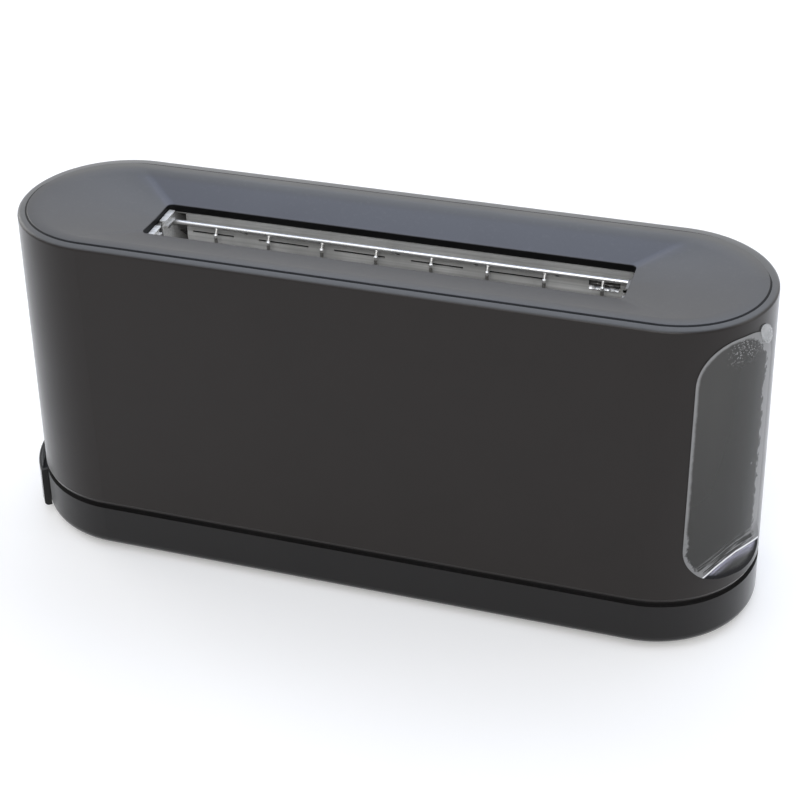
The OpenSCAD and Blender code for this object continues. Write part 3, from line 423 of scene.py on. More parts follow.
pale_sheet = (0.6, 0.6, 0.59), (0.88, 0.88, 0.87), 0.45, (6.0, 900.0, 900.0)
bright_rod = (0.8, 0.8, 0.79), (0.93, 0.93, 0.92), 0.3, (60.0, 900.0, 900.0)
metal("chassis_steel", *pale_sheet, polish=0.25)
metal("frame_steel", *pale_sheet, polish=0.25, painted_shade=painted_shade_by_slits)
metal("bright_wire", *bright_rod, 0.00001, 0.1, 0.75)
metal("guide_wire", *bright_rod, 0.00001, 0.1, 0.75, painted_shade=painted_shade_off_bends, shade_colour=(0.28, 0.275, 0.265))
metal("tab_steel", *bright_rod, polish=0.75, painted_shade=painted_shade_behind_window, shade_colour=(0.1, 0.097, 0.09))
metal("dull_steel", (0.24, 0.235, 0.225), (0.34, 0.335, 0.325), 0.5, (6.0, 900.0, 900.0), polish=0.25)
metal("reflector_steel", (0.11, 0.105, 0.1), (0.2, 0.19, 0.18), 0.5, (6.0, 700.0, 700.0), polish=0.6)
metal("spring_steel", (0.45, 0.45, 0.46), (0.6, 0.6, 0.61), 0.3, (300.0, 300.0, 1800.0))
metal("screw_steel", (0.52, 0.51, 0.48), (0.7, 0.68, 0.62), 0.33, (900.0, 900.0, 200.0))
metal("heater_alloy", (0.2, 0.18, 0.16), (0.34, 0.31, 0.28), 0.5, (60.0, 2000.0, 2000.0))
metal("magnet_iron", (0.28, 0.28, 0.29), (0.42, 0.42, 0.43), 0.45, (700.0, 60.0, 700.0))
metal("tray_metal", (0.34, 0.345, 0.35), (0.46, 0.465, 0.47), 0.4, (30.0, 2200.0, 2200.0))
print("metals made,", len(finishes), "materials")

# %% [markdown]
# Three finishes lie deep inside: the flaky mica of the heater cards, the copper of the magnet's coil, whose turns are
# streaks across its axis, and the green board with faint tracks. The grain and the streaks make them with other
# values.

# %% Mica, copper winding and circuit board
tree, shader = new_finish("mica")
skin = place(tree, grain, Pits_per_metre=700.0, Clouds_per_metre=160.0)
feed(tree, shader, Base_Color=mixed(tree, skin["Cloud"], (0.44, 0.37, 0.26), (0.66, 0.6, 0.48)),
     Roughness=stretch(tree, skin["Height"], 0.3, 0.7, 0.3, 0.6), Normal=raised(tree, skin["Height"], 0.3, 0.0001))

tree, shader = new_finish("coil_copper")
turns = place(tree, streaks, Lines=(4.0, 4.0, 3400.0))
feed(tree, shader, Base_Color=mixed(tree, turns["Line"], (0.2, 0.07, 0.025), (0.55, 0.24, 0.1)), Metallic=1,
     Roughness=stretch(tree, turns["Line"], 0, 1, 0.25, 0.45), Normal=raised(tree, turns["Line"], 0.6, 0.0002))

tree, shader = new_finish("board_green")
tracks = place(tree, streaks, Lines=(120.0, 20.0, 900.0))
feed(tree, shader, Base_Color=mixed(tree, tracks["Line"], (0.012, 0.08, 0.035), (0.03, 0.15, 0.06)),
     Roughness=stretch(tree, tracks["Patch"], 0, 1, 0.2, 0.35), Normal=raised(tree, tracks["Line"], 0.3, 0.00005))
print("inner finishes made,", len(finishes), "materials")

# %% [markdown]
# ## The clear film's finish
# Where the film sticks, it lies on the wall as a grey tint, painted darker towards the middle of the round end and
# towards the bottom as painted shade. Where it has come loose, we see through it. It is milky where air is under it:
# along its border, in a froth of bubbles near the top and in streaks above the crease. A white line along the crease
# is a painted highlight, the loose flap below it carries a painted lavender reflection near the crease, and its lower
# edge carries a painted dark shadow. The sheet carries those zones as values on its points, and noise frays them. What
# makes the film less clear ends in the Alpha.

# %% Zones of the film
def cells(tree, vector, scale):
    return add(tree, "ShaderNodeTexVoronoi", [("Vector", vector), ("Scale", scale)]).outputs["Distance"]


tree, shader = new_finish("clear_film")
where = object_place(tree)
above, inside = noted(tree, "above"), noted(tree, "inside")
stuck, loose = stretch(tree, above, -0.4, 0.3), stretch(tree, above, -0.3, -0.9)
ragged = noise(tree, where, 190, 5, 0.65)
ragged_by = times(tree, stretch(tree, ragged, 0.36, 0.64, -1, 1), noted(tree, "rag"))
hazy = maths(tree, "SUBTRACT", maths(tree, "ADD", noted(tree, "width"), ragged_by), inside)
border = times(tree, stretch(tree, hazy, -0.5, 0.6), stuck)
bubble = times(tree, stretch(tree, cells(tree, where, 900), 0.45, 0.2), stretch(tree, ragged, 0.4, 0.5))
froth = times(tree, bubble, noted(tree, "froth"))
flat = axes_of(tree, add(tree, "ShaderNodeUVMap", uv_map="sheet").outputs["UV"])
beside = [("X", times(tree, flat["X"], 14.0)), ("Y", times(tree, above, 0.9))]
streak = noise(tree, add(tree, "ShaderNodeCombineXYZ", beside).outputs[0], 1, 4)
near = times(tree, stretch(tree, above, 0.3, 1.2), stretch(tree, above, 11, 3))
fray = times(tree, stretch(tree, streak, 0.5, 0.6), near)
speck = stretch(tree, cells(tree, where, 55), 0.05, 0.03)
# painted highlight: a white line along the crease
painted_crease_highlight = stretch(tree, maths(tree, "ABSOLUTE", above), 0.75, 0.35)
# painted reflection: a lavender colour on the loose flap, brightest near the crease
painted_flap_reflection = times(tree, stretch(tree, streak, 0.3, 0.62, 0.25, 1), stretch(tree, above, -5.5, -0.8))
painted_flap_reflection = times(tree, painted_flap_reflection, loose)
shadow_edge = times(tree, stretch(tree, inside, 4.2, 1.6), loose)
print("zones of the film", len(tree.nodes), "nodes")

# %% Clear film and its tab
milky = times(tree, border, 0.3)
for zone, strength in ((froth, 0.36), (fray, 0.36), (painted_crease_highlight, 0.8), (speck, 0.26), (painted_flap_reflection, 0.3)):
    milky = maths(tree, "MAXIMUM", milky, times(tree, zone, strength))
cover_up = maths(tree, "ADD", milky, times(tree, shadow_edge, 0.7))
# painted shade: the film's tint goes darker towards the middle of the round end and towards the bottom
painted_film_shade = mixed(tree, noted(tree, "painted_film_shade"), (0.081, 0.08, 0.077), (0.055, 0.055, 0.053))
painted_film_shade = mixed(tree, stretch(tree, height_of(tree), 0.15, 0.035, 0, 0.7), painted_film_shade, (0.044, 0.044, 0.0425))
whitened = maths(tree, "MAXIMUM", stretch(tree, milky, 0, 0.7, 0, 0.52), painted_crease_highlight)
pale = mixed(tree, whitened, painted_film_shade, (0.8, 0.8, 0.81))
pale = mixed(tree, painted_flap_reflection, pale, (0.55, 0.54, 0.68))
feed(tree, shader, Base_Color=mixed(tree, shadow_edge, pale, (0.01, 0.01, 0.012)),
     Alpha=maths(tree, "ADD", cover_up, stretch(tree, stuck, 0, 1, 0.25, 0.85)),
     Roughness=stretch(tree, milky, 0, 0.5, 0.2, 0.34), Specular_IOR_Level=0.18)

tree, shader = new_finish("tab_film")
skin = place(tree, grain, Pits_per_metre=1500.0, Clouds_per_metre=120.0)
feed(tree, shader, Base_Color=mixed(tree, skin["Cloud"], (0.5, 0.51, 0.51), (0.6, 0.61, 0.61)),
     Alpha=stretch(tree, skin["Cloud"], 0, 1, 0.42, 0.5), Roughness=0.25)
print("film finishes made,", len(finishes), "materials")

# %% [markdown]
# ## Dressing the solids
# The record names a material slot for each solid, and most solids take the finish of that name. Those in the mouth of
# the slot have finishes of their own.

# %% Put the finishes on the solids
slot_of = {row["node"]: row["material_slot"] for row in frame["record"]["subparts"]}
own_finish = {"slot_frame": "frame_steel", "bread_guide_front": "guide_wire", "bread_guide_back": "guide_wire",
              "end_plate_right": "dull_steel"}
for name, solid in nodes.items():
    finish = finishes.get(own_finish.get(name, slot_of[name]))
    if finish is not None:
        solid.data.materials.clear()
        solid.data.materials.append(finish)
print("dressed", sum(1 for name in nodes if slot_of[name] in finishes), "of", len(nodes))

# %% [markdown]
# ## The dished cover
# On the real toaster the top is one moulding: a flat band inside the rim, then a shallow dish that runs down to the
# slot, with a soft fold to each corner of the slot. It could be cut from a block, but a loft is truer: we begin
# with a ring of points, extrude it again and again, and put each new ring on its way from the rim to the slot.
# Every point carries the number of its line from rim to slot, and an extrusion hands that number on.

# %% Measures of the cover, in millimetres round the middle of the plan
top_z, rim_z, slot_z, collar_z = 188.0, 187.5, 181.4, 177.1
cover_half, cover_r, band_w = 146.6, 45.95, 5.0
slot_x, slot_half, slot_side, slot_corner = 1.25, 125.25, 17.0, 3.0
rim_in, ledge_z = 46.65, 185.3
front_out, front_rise = 1.5, 1.0
wall_foot_r, wall_lean, wall_low, wall_high = 57.25, 5.2, 3, 184.5


def at(x, y, z):
    return Vector((plan.x + x * mm, plan.y + y * mm, z * mm))


def wall_r(z):
    return wall_foot_r - wall_lean * (z - wall_low) / wall_high


def smooth(x, low, high):
    t = min(1.0, max(0.0, (x - low) / (high - low)))
    return t * t * (3 - 2 * t)


print("cover", 2 * (cover_half + cover_r), "by", 2 * cover_r, "mm")

# %% [markdown]
# A quarter of the cover has four kinds of lines. Those of the round end fan out to the slot's short side, those of
# the fold turn round the slot's corner, a few more finish the round end, and the rest cross the long side. Each line
# is where it starts, its angle there, and where it ends with its angle at the slot. The other quarters mirror it.

# %% Lines from the rim to the slot
core_x, core_y = slot_half - slot_corner, slot_side - slot_corner
crease, spread = 82.0, 6.0
fan_lines, fold_lines, late_lines, side_lines = 18, 8, 5, 8


def round_x(angle):
    return cover_half + cover_r * math.cos(math.radians(angle))


side_x = round_x(crease + spread)


def quarter_lines():
    lines = [(cover_half, crease * i / fan_lines, core_x, core_y * i / fan_lines, 0) for i in range(fan_lines + 1)]
    lines += [(cover_half, crease + spread * i / fold_lines, core_x, core_y, 90 * i / fold_lines)
              for i in range(1, fold_lines + 1)]
    for i in range(1, late_lines + 1):
        a = crease + spread + (90 - crease - spread) * i / late_lines
        lines.append((cover_half, a, core_x * round_x(a) / side_x, core_y, 90))
    for i in range(1, side_lines + 1):
        x = cover_half * (1 - i / side_lines)
        lines.append((x, 90, core_x * x / side_x, core_y, 90))
    return lines


quarter = quarter_lines()
last = len(quarter) - 1
loft_lines = []
for mirror_x, mirror_y, onward in ((1, 1, True), (-1, 1, False), (-1, -1, True), (1, -1, False)):
    loft_lines += [(quarter[i if onward else last - i], mirror_x, mirror_y) for i in range(last)]


def loft_point(number, share, r, out, z):
    (x, a, sx, sy, turn), mx, my = loft_lines[number]
    a, turn, rs = math.radians(a), math.radians(turn), slot_corner + out
    front = sy / core_y if my < 0 else 0
    rim = Vector((mx * (x + r * math.cos(a)), my * r * math.sin(a)))
    slot = Vector((slot_x + mx * (sx + rs * math.cos(turn)), my * (sy + front_out * front + rs * math.sin(turn))))
    p = rim.lerp(slot, share)
    return at(p.x, p.y, z + front_rise * front * share)


print("lines from rim to slot", len(loft_lines))

# %% A ring that is extruded along a list of stations
def lofted(name, count, stations, point):
    bpy.ops.object.select_all(action="DESELECT")
    bpy.ops.mesh.primitive_circle_add(vertices=count, radius=0.1)
    piece = bpy.context.object
    piece.name = name
    bpy.ops.object.transform_apply(location=True, rotation=True, scale=True)
    bpy.ops.object.mode_set(mode="EDIT")
    bpy.ops.mesh.select_mode(type="VERT")
    bpy.ops.mesh.select_all(action="SELECT")
    mesh = bmesh.from_edit_mesh(piece.data)
    number = mesh.verts.layers.int.new("line")
    for v in mesh.verts:
        v[number] = round(math.atan2(v.co.y, v.co.x) / math.tau * count) % count
    for k, station in enumerate(stations):
        if k:
            bpy.ops.mesh.extrude_region_move()
        mesh = bmesh.from_edit_mesh(piece.data)
        number = mesh.verts.layers.int["line"]
        for v in mesh.verts:
            if v.select:
                v.co = point(v[number], *station)
        bmesh.update_edit_mesh(piece.data)
    bpy.ops.mesh.select_mode(type="EDGE")
    bpy.ops.mesh.select_all(action="DESELECT")
    bpy.ops.mesh.select_non_manifold()
    bpy.ops.mesh.bridge_edge_loops()
    bpy.ops.mesh.select_mode(type="VERT")
    bpy.ops.mesh.select_all(action="SELECT")
    bpy.ops.mesh.normals_make_consistent(inside=False)
    bpy.ops.object.mode_set(mode="OBJECT")
    bpy.ops.object.shade_smooth_by_angle(angle=math.radians(38))
    print(name, len(piece.data.polygons), "faces")
    return piece


# %% The cover's top, its lip at the slot and its underside
round_edge, round_lip, slot_skirt = 0.4, 0.3, 1.6
foot_in, foot_drop, groove_in = 43.4, 1.8, 1.3
quarter_turn = np.linspace(0, math.pi / 2, 5)


def dip(s):
    return (top_z - slot_z) * s ** 1.06


edge = [(0, cover_r - round_edge + round_edge * math.cos(a), 0, top_z - round_edge + round_edge * math.sin(a))
        for a in quarter_turn]
dish = [(s, cover_r - band_w, round_lip, top_z - dip(s)) for s in np.linspace(0, 1, 19)]
roll = [(1, 0, round_lip - round_lip * math.sin(a), slot_z - round_lip + round_lip * math.cos(a))
        for a in quarter_turn[1:]]
lip = [(1, 0, 0, slot_z - 0.45), (1, 0, slot_skirt, slot_z - 0.45)]
under = [(s, cover_r - band_w, slot_skirt, top_z - 2.4 - dip(s)) for s in np.linspace(1, 0, 9)]
foot = [(0, r, 0, z) for r, z in ((foot_in, top_z - 2.6), (foot_in, ledge_z - foot_drop),
                                  (rim_in + 0.5, ledge_z - foot_drop), (rim_in + 0.5, ledge_z),
                                  (cover_r - groove_in, ledge_z), (cover_r - groove_in, rim_z + 0.08),
                                  (cover_r, rim_z + 0.08))]
cover = lofted("dished_cover", len(loft_lines), edge + dish + roll + lip + under + foot, loft_point)
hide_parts("top_cover")
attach(cover, "housing")
cover.data.materials.append(finishes["cover_matte"])

# %% [markdown]
# A cooler, bluer colour is painted on the slope behind the slot, most of all on its two folds, as a painted
# reflection. Each point of the cover keeps how much of that painted reflection it takes, by the place of its line in
# the quarter and by its depth, for the finish to read.

# %% Note on the cover's points how much painted reflection the back slope and its folds take
fold_start, fold_full, side_start, side_full = 15, 20, 24, 30
slope_start, slope_full, side_less = 0.3, 2.0, 0.4
slope_reflection_shares = []
for v, item in zip(cover.data.vertices, cover.data.attributes["line"].data):
    n = item.value
    on_line = min(n % (2 * last), 2 * last - n % (2 * last)) if n < 2 * last else 0
    inner = smooth(rim_z + 0.2 - v.co.z / mm, slope_start, slope_full)
    on_side = smooth(on_line, side_start, side_full)
    slope_reflection_shares.append(inner * smooth(on_line, fold_start, fold_full) * (1 - side_less * on_side))
cover.data.attributes.new("painted_slope_reflection", "FLOAT", "POINT").data.foreach_set("value", slope_reflection_shares)
print("points on the back slope", sum(1 for value in slope_reflection_shares if value > 0))

# %% [markdown]
# The cover stands half a millimetre proud of the rim, and a dark strip fills the seam round it as a painted shadow of
# the gap. The strip is lofted on the same lines, its top slants down to the rim, and it lies a little deeper along the
# back.

# %% Painted shadow in the seam
seam_in, seam_out, seam_foot = cover_r - 0.2, cover_r + 0.9, rim_z - 0.3
seam_profile = [(0, r, 0, z) for r, z in ((seam_in, seam_foot), (seam_in, top_z - 0.1), (cover_r + 0.1, top_z - 0.22),
                                          (seam_out, rim_z + 0.06), (seam_out, seam_foot))]


def seam_point(number, share, r, out, z):
    line, _, my = loft_lines[number]
    sunk = 0.27 * smooth(math.sin(math.radians(line[1])), 0.05, 0.4) if my > 0 else 0.0
    return loft_point(number, share, r, out, z - sunk)


# painted shadow: a dark strip where the gap between the cover and the rim would be in shade
seam = lofted("painted_seam_shadow", len(loft_lines), seam_profile, seam_point)
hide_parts("top_cover")
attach(seam, "housing")
seam.data.materials.append(finishes["collar_black"])

# %% [markdown]
# ## The collar in the slot
# Below the cover's rolled edge the slot is lined by a short upright collar in a darker plastic. It is the same loft
# with every station at the slot, closed to a ring, with its two inner edges broken a little.

# %% Collar
collar_high = slot_z - 0.5
collar_profile = [(1, 0, out, z) for out, z in ((0.25, collar_high), (0.05, collar_high - 0.2), (0.05, collar_z + 0.3),
                                                (0.35, collar_z), (slot_skirt, collar_z), (slot_skirt, collar_high))]
collar = lofted("slot_collar", len(loft_lines), collar_profile, loft_point)
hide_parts("top_cover")
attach(collar, "housing")
collar.data.materials.append(finishes["collar_black"])

# %% [markdown]
# ## The film on the round end
# A clear film protects the right end. It is a flat sheet with round corners, stuck to a wall that is nearly a
# cylinder, so we cut it flat and then wrap it: a plane gets its corners beveled, its border is inset in a few steps,
# and bisect cuts it into strips that are narrow enough to bend. Along its lower edge the film has come loose and is
# creased, so the strips there are cut finer. Each point keeps its distance from the border and from the crease, for
# the finish to read. Wrapping then moves each point to its angle and height on the wall.

# %% Helpers for a primitive that is scaled, cut into strips and thickened
def sized(name, scale, middle=(0, 0, 0), turn=0.0):
    piece = bpy.context.object
    piece.name = name
    piece.scale = scale
    piece.rotation_euler = (0, 0, turn)
    piece.location = middle
    bpy.ops.object.transform_apply(location=True, rotation=True, scale=True)
    return piece


def cut(places, across):
    for p in places:
        bpy.ops.mesh.select_all(action="SELECT")
        bpy.ops.mesh.bisect(plane_co=[p * v for v in across], plane_no=across)


def thicken(piece, thickness, offset, angle):
    thick = piece.modifiers.new("thickness", "SOLIDIFY")
    thick.thickness = thickness
    thick.offset = offset
    bpy.context.view_layer.objects.active = piece
    bpy.ops.object.modifier_apply(modifier=thick.name)
    bpy.ops.object.shade_smooth_by_angle(angle=math.radians(angle))
    print(piece.name, len(piece.data.polygons), "faces")


across_x, across_y = (1, 0, 0), (0, 1, 0)

# %% Cut the film flat: its length along the wall is x, its height is y
film_mid, film_half, film_low, film_high, film_corner = -36.5, 25.0, 42.0, 179.5, 22.0
film_mid_z, film_tall = (film_low + film_high) / 2, film_high - film_low
film_r = wall_r(film_mid_z)
bpy.ops.object.select_all(action="DESELECT")
bpy.ops.mesh.primitive_plane_add(size=1)
film = sized("end_film", (2 * film_half, film_tall, 1), (film_mid, film_mid_z, 0))
bpy.ops.object.mode_set(mode="EDIT")
bpy.ops.mesh.select_all(action="SELECT")
bpy.ops.mesh.bevel(offset=film_corner, segments=14, affect="VERTICES")
bpy.ops.mesh.select_all(action="SELECT")
for step in (0.5, 0.7, 0.9, 1.2, 1.8, 2.6):
    bpy.ops.mesh.inset(thickness=step)
cut(np.arange(film_mid - film_half + 1.6, film_mid + film_half, 1.6), across_x)
cut((*np.arange(43.2, 64.0, 1.2), *np.arange(68.0, 160.0, 6.0), *np.arange(160.0, 178.0, 2.5)), across_y)
bpy.ops.object.mode_set(mode="OBJECT")
print("film", len(film.data.vertices), "points")

# %% Note on each point how near the border and the crease it is
fold_s = (-61.5, -52.4, -44.1, -37.9, -31.3, -23.6, -17.5, -11.5)
fold_z = (37.6, 43.9, 49.0, 51.7, 53.5, 53.6, 53.2, 52.9)


def above_fold(s, z):
    return z - float(np.interp(s, fold_s, fold_z))


def edge_distance(s, z):
    qx = abs(s - film_mid) - film_half + film_corner
    qz = abs(z - film_mid_z) - film_tall / 2 + film_corner
    return -(math.hypot(max(qx, 0), max(qz, 0)) + min(max(qx, qz), 0) - film_corner)


points = [(v.co.x, v.co.y) for v in film.data.vertices]
notes = {"inside": [], "width": [], "rag": [], "above": [], "froth": [], "painted_film_shade": []}
for s, z in points:
    right_side = smooth(s, film_mid, film_mid + 16)
    low_left = (1 - right_side) * (1 - smooth(z, 62, 84))
    notes["inside"].append(edge_distance(s, z))
    notes["width"].append(1.5 + 4.6 * right_side + 0.5 * low_left)
    notes["rag"].append(0.2 + 1.7 * right_side + 1.1 * low_left)
    notes["above"].append(above_fold(s, z))
    notes["froth"].append(smooth(z, 163, 170) * smooth(s, -48, -40))
    notes["painted_film_shade"].append(min(1, max(0, (s + 50) / 32)))
for title, values in notes.items():
    film.data.attributes.new(title, "FLOAT", "POINT").data.foreach_set("value", values)
sheet_map = film.data.uv_layers.new(name="sheet")
for loop in film.data.loops:
    s, z = points[loop.vertex_index]
    sheet_map.data[loop.index].uv = (s * mm * 5 + 0.5, z * mm * 5)
print("noted", list(notes))

# %% Wrap it, lift the creased edge, and give it its thickness
flattest_s, glue = -38, 0.12


def wrapped(s, z, off):
    a, r = s / film_r, wall_r(z) + off
    return at(half + r * math.cos(a), r * math.sin(a), z)


def film_off(s, z):
    above = above_fold(s, z)
    from_flattest = s - flattest_s
    lift = 0.3 + (2.2 * (from_flattest / 24.1) ** 2 if from_flattest > 0 else 0.8 * (from_flattest / 14.4) ** 2)
    if above >= 0:
        return glue + lift * (1 - smooth(above, 0, 10)) ** 1.5
    return glue + lift - 0.4 * above


for v, (s, z) in zip(film.data.vertices, points):
    loose_by = min(0.0, above_fold(s, z))
    v.co = wrapped(s, z - 0.2 * loose_by, film_off(s, z))
thicken(film, 0.00025, 1, 30)
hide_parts("protective_film")
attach(film, "housing")
film.data.materials.append(finishes["clear_film"])
print("film box", [round(v, 4) for v in film.dimensions])

# %% [markdown]
# ## The film's pull tab
# A small paler tongue at the upper right corner, where a thumb takes hold. It starts as a circle, drawn out to an
# oval, inset for a thin border and cut into strips, and then it is wrapped over the film's corner in the same way.

# %% Pull tab
bpy.ops.object.select_all(action="DESELECT")
bpy.ops.mesh.primitive_circle_add(vertices=40, radius=1, fill_type="NGON")
tab = sized("film_tab", (8.2, 4.0, 1), (-18.6, 174.1, 0), math.radians(-45))
bpy.ops.object.mode_set(mode="EDIT")
bpy.ops.mesh.select_all(action="SELECT")
bpy.ops.mesh.inset(thickness=0.7)
cut(np.arange(-32.0, -8.0, 1.5), across_x)
bpy.ops.object.mode_set(mode="OBJECT")
for v in tab.data.vertices:
    s, z = v.co.x, v.co.y
    v.co = wrapped(s, z, 0.42 - 0.1 * smooth(-edge_distance(s, z), 0, 3))
thicken(tab, 0.0003, 1, 30)
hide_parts("protective_film")
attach(tab, "housing")
tab.data.materials.append(finishes["tab_film"])

# %% [markdown]
# ## The bent tab in the slot
# Near its right end the slot frame has a window. The strip of sheet that was cut free there stands behind the frame,
# and its lower edge is bent out through the window and a little crumpled. It is a plane cut into strips, waved by
# moving its points, and thickened. A cloth run would be too much for a strip this small.

# %% Bent tab: how far from the middle and how high it is, by the way down its sheet
bent_x, bent_long, bent_tall = 110.3, 15.0, 8.4
bent_down = (0, 4.6, 6.8, 8.4)
bent_out, bent_z = (21.0, 20.8, 18.8, 17.9), (170.6, 165.8, 165.0, 164.0)
bpy.ops.object.select_all(action="DESELECT")
bpy.ops.mesh.primitive_plane_add(size=1)
bent = sized("slot_tab", (bent_long, bent_tall, 1))
bpy.ops.object.mode_set(mode="EDIT")
cut(np.arange(-6.5, 7.0, 1.0), across_x)
cut(np.arange(-3.5, 4.0, 0.7), across_y)
bpy.ops.object.mode_set(mode="OBJECT")
for v in bent.data.vertices:
    x, down = v.co.x, bent_tall / 2 - v.co.y
    wave = 0.08 * down * (0.45 * math.sin(x * 1.15) + 0.2 * math.sin(x * 2.7 + 1))
    v.co = at(bent_x + x, np.interp(down, bent_down, bent_out) - wave, np.interp(down, bent_down, bent_z) + wave)
thicken(bent, 0.0005, 0, 40)
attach(bent, "housing")
bent.data.materials.append(finishes["tab_steel"])

# %% [markdown]
# ## The lips on the left end plate
# Where the end plate meets the collar its upper edge is folded over to two short bright lips, with a gap for the
# carriage between them. Each is a cube drawn out to a strip, with a second one as its upright leg.

# %% End lips
def joined(parts, name):
    bpy.ops.object.select_all(action="DESELECT")
    for part in parts:
        part.select_set(True)
    bpy.context.view_layer.objects.active = parts[0]
    bpy.ops.object.join()
    bpy.context.object.name = name
    print(name, len(bpy.context.object.data.polygons), "faces of", len(parts), "strips")
    return bpy.context.object


lip_spans = (-14.0, -2.2), (3.2, 16.2)
lip_sections = (-123.8, -120.4, 177.5, 178.3), (-122.5, -121.7, 175.2, 177.6)
lips = []
for low_y, high_y in lip_spans:
    for x0, x1, z0, z1 in lip_sections:
        bpy.ops.mesh.primitive_cube_add(size=1)
        lips.append(sized("lip", ((x1 - x0) * mm, (high_y - low_y) * mm, (z1 - z0) * mm),
                          at((x0 + x1) / 2, (low_y + high_y) / 2, (z0 + z1) / 2)))
        bpy.ops.object.mode_set(mode="EDIT")
        bpy.ops.mesh.select_all(action="SELECT")
        bpy.ops.mesh.bevel(offset=0.00025, segments=2, affect="EDGES")
        bpy.ops.object.mode_set(mode="OBJECT")
end_lips = joined(lips, "end_lips")
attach(end_lips, "housing")
end_lips.data.materials.append(finishes["chassis_steel"])

# %% [markdown]
# ## The lever's grip
# The lever ends in a pill-shaped grip behind the body. The frame's solid has straight bevels there, while a moulded
# grip is soft all round and has a few grooves for the thumb. A cube is scaled to size, its four upright edges are
# beveled until they meet in half circles, the front and back edges get smaller bevels, and strips of its front face
# are pushed in.

# %% Choose edges or faces by their place
def choose(piece, kind, test):
    bpy.ops.mesh.select_mode(type=kind)
    bpy.ops.mesh.select_all(action="DESELECT")
    mesh = bmesh.from_edit_mesh(piece.data)
    for item in (mesh.edges if kind == "EDGE" else mesh.faces):
        if test(item):
            item.select = True
    mesh.select_flush_mode()
    bmesh.update_edit_mesh(piece.data)


def along_y(least):
    return lambda e: abs(e.verts[0].co.y - e.verts[1].co.y) > least


def all_at(y):
    return lambda e: all(abs(v.co.y - y) < 1e-5 for v in e.verts)


# %% Lever grip
grip_low, grip_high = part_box("lever_knob")
grip_mid, grip_size = (grip_low + grip_high) / 2, grip_high - grip_low
grooves = (-6, -2, 2, 6)


def on_front(f):
    return f.calc_center_median().y > grip_high.y - 1e-5


def front_face(f):
    return on_front(f) and abs(f.normal.y) > 0.99


def in_groove(f):
    from_mid = f.calc_center_median().x - grip_mid.x
    return on_front(f) and f.calc_area() < 1.5e-5 and any(abs(from_mid - g * mm) < 0.0003 for g in grooves)


bpy.ops.object.select_all(action="DESELECT")
bpy.ops.mesh.primitive_cube_add(size=1)
grip = sized("lever_grip", grip_size, grip_mid)
bpy.ops.object.mode_set(mode="EDIT")
for edges, offset, segments in ((along_y(0.9 * grip_size.y), 0.0072, 12), (all_at(grip_high.y), 0.0026, 6),
                                (all_at(grip_low.y), 0.0012, 3)):
    choose(grip, "EDGE", edges)
    bpy.ops.mesh.bevel(offset=offset, segments=segments, affect="EDGES")
choose(grip, "FACE", front_face)
bpy.ops.mesh.inset(thickness=0.0008)
for side in (-6.6, -5.4, -2.6, -1.4, 1.4, 2.6, 5.4, 6.6):
    choose(grip, "FACE", front_face)
    bpy.ops.mesh.bisect(plane_co=(grip_mid.x + side * mm, 0, 0), plane_no=across_x)
choose(grip, "FACE", in_groove)
bpy.ops.mesh.extrude_region_shrink_fatten(TRANSFORM_OT_shrink_fatten={"value": -0.0006})
bpy.ops.mesh.select_all(action="SELECT")
bpy.ops.mesh.normals_make_consistent(inside=False)
bpy.ops.object.mode_set(mode="OBJECT")
bpy.ops.object.shade_smooth_by_angle(angle=math.radians(35))
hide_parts("lever_knob")
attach(grip, "carriage")
grip.data.materials.append(finishes["control_black"])
print("grip", len(grip.data.polygons), "faces", [round(v, 4) for v in grip.dimensions])

# %% [markdown]
# ## Rings round the three buttons
# Each button sits in a slim bright ring. A ring is a turned shape, so it is lofted like the cover, with a circle for
# its plan and a small rounded profile. It is made once and copied, and each copy has its own mesh.

# %% Button rings
ring_x, ring_z = (-110.2, -93.2, -76.2), 49.0
ring_sides = 48
ring_profile = [(5.75, -0.3), (5.75, 0.35), (5.9, 0.55), (6.2, 0.65), (6.55, 0.62), (6.85, 0.4), (6.95, 0.1),
                (6.95, -0.3)]


def ring_point(number, radius, out_by):
    a = math.tau * number / ring_sides
    x, z = ring_x[0] + radius * math.cos(a), ring_z + radius * math.sin(a)
    return at(x, wall_r(z) + out_by, z)


first_ring = lofted("button_ring_1", ring_sides, ring_profile, ring_point)
first_ring.data.materials.append(finishes["bright_wire"])
for i, x in enumerate(ring_x):
    ring = first_ring
    if i:
        ring = first_ring.copy()
        ring.data = first_ring.data.copy()
        ring.name = f"button_ring_{i + 1}"
        bpy.context.collection.objects.link(ring)
        ring.data.transform(Matrix.Translation((x * mm - ring_x[0] * mm, 0, 0)))
    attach(ring, "housing")

# %% [markdown]
# ## Printed marks
# The dial has a pale line, a scale of ticks that grow with the browning runs round it, and each button has a small
# plain sign above it. Print is nearly flat, so each stroke is a thin bar with broken corners that is laid on the
# wall: its points move out to the wall's height at their place. All strokes of the wall are then joined.

# %% A stroke on the back wall
def wall_y(x, z):
    past_x = max(0.0, abs(x) - half)
    return math.sqrt(wall_r(z) ** 2 - past_x ** 2)


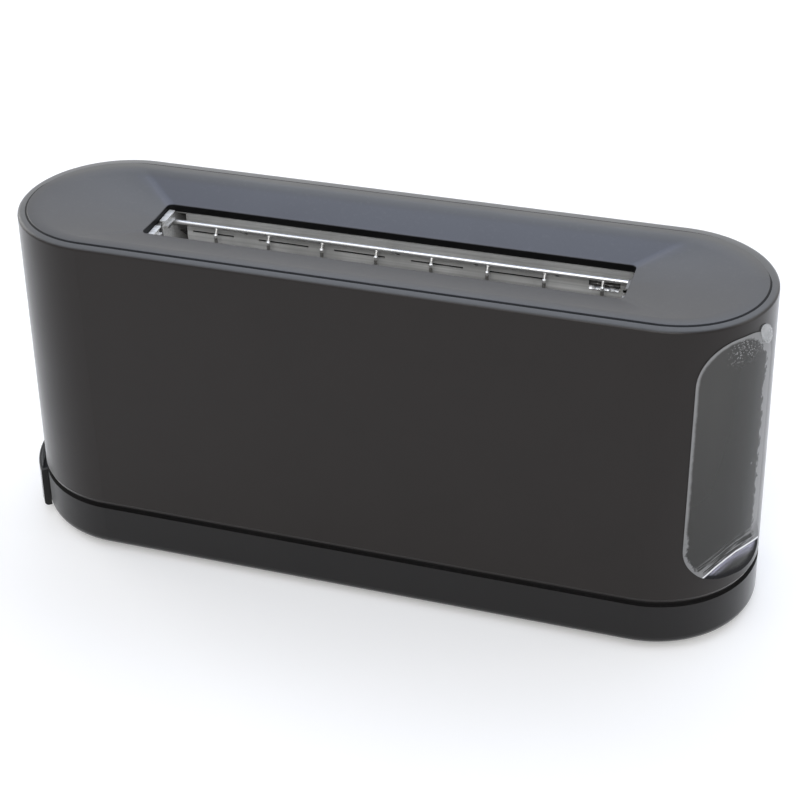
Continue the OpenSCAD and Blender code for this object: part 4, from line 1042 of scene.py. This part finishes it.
def stroke(x, z, long, wide, turn):
    bpy.ops.object.select_all(action="DESELECT")
    bpy.ops.mesh.primitive_cube_add(size=1)
    bar = sized("stroke", (wide, 0.16, long))
    bpy.ops.object.mode_set(mode="EDIT")
    choose(bar, "EDGE", along_y(0.1))
    bpy.ops.mesh.bevel(offset=0.3 * wide, segments=3, affect="EDGES")
    bpy.ops.object.mode_set(mode="OBJECT")
    spun = Matrix.Rotation(turn, 3, "Y")
    for v in bar.data.vertices:
        p = spun @ v.co
        v.co = at(x + p.x, wall_y(x + p.x, z + p.z) + p.y, z + p.z)
    return bar


# %% The dial's scale and the buttons' signs
dial_x, dial_z, scale_r = -140.2, 49.0, 17.0
ticks, dial_turn, sign_z = 9, 135, 60.5
strokes = []
for i in range(ticks):
    turn = math.radians(-dial_turn + 2 * dial_turn * i / (ticks - 1))
    long = 1.6 + 0.22 * i
    r = scale_r + long / 2
    strokes.append(stroke(dial_x + r * math.sin(turn), dial_z + r * math.cos(turn), long, 0.7, turn))
for turn in (45, -45):
    strokes.append(stroke(ring_x[0], sign_z, 4.6, 0.6, math.radians(turn)))
for turn in (0, 60, 120):
    strokes.append(stroke(ring_x[1], sign_z, 4.8, 0.5, math.radians(turn)))
for across in (-1.5, 0, 1.5):
    strokes.append(stroke(ring_x[2] + across, sign_z + 0.3 * abs(across), 4.0, 0.55, math.radians(12)))
marks = joined(strokes, "printed_marks")
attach(marks, "housing")
marks.data.materials.append(finishes["print_pale"])

# %% The dial's pale line lies in its groove
knob_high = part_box("browning_knob")[1]
bpy.ops.object.select_all(action="DESELECT")
bpy.ops.mesh.primitive_cube_add(size=1)
pointer = sized("dial_pointer", (0.0011, 0.0004, 0.0042), (plan.x + dial_x * mm, knob_high.y - 0.0004, 0.0574))
bpy.ops.object.mode_set(mode="EDIT")
choose(pointer, "EDGE", along_y(0.0003))
bpy.ops.mesh.bevel(offset=0.0004, segments=4, affect="EDGES")
bpy.ops.object.mode_set(mode="OBJECT")
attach(pointer, "dial")
pointer.data.materials.append(finishes["print_pale"])
print("pointer", [round(v, 4) for v in pointer.dimensions])
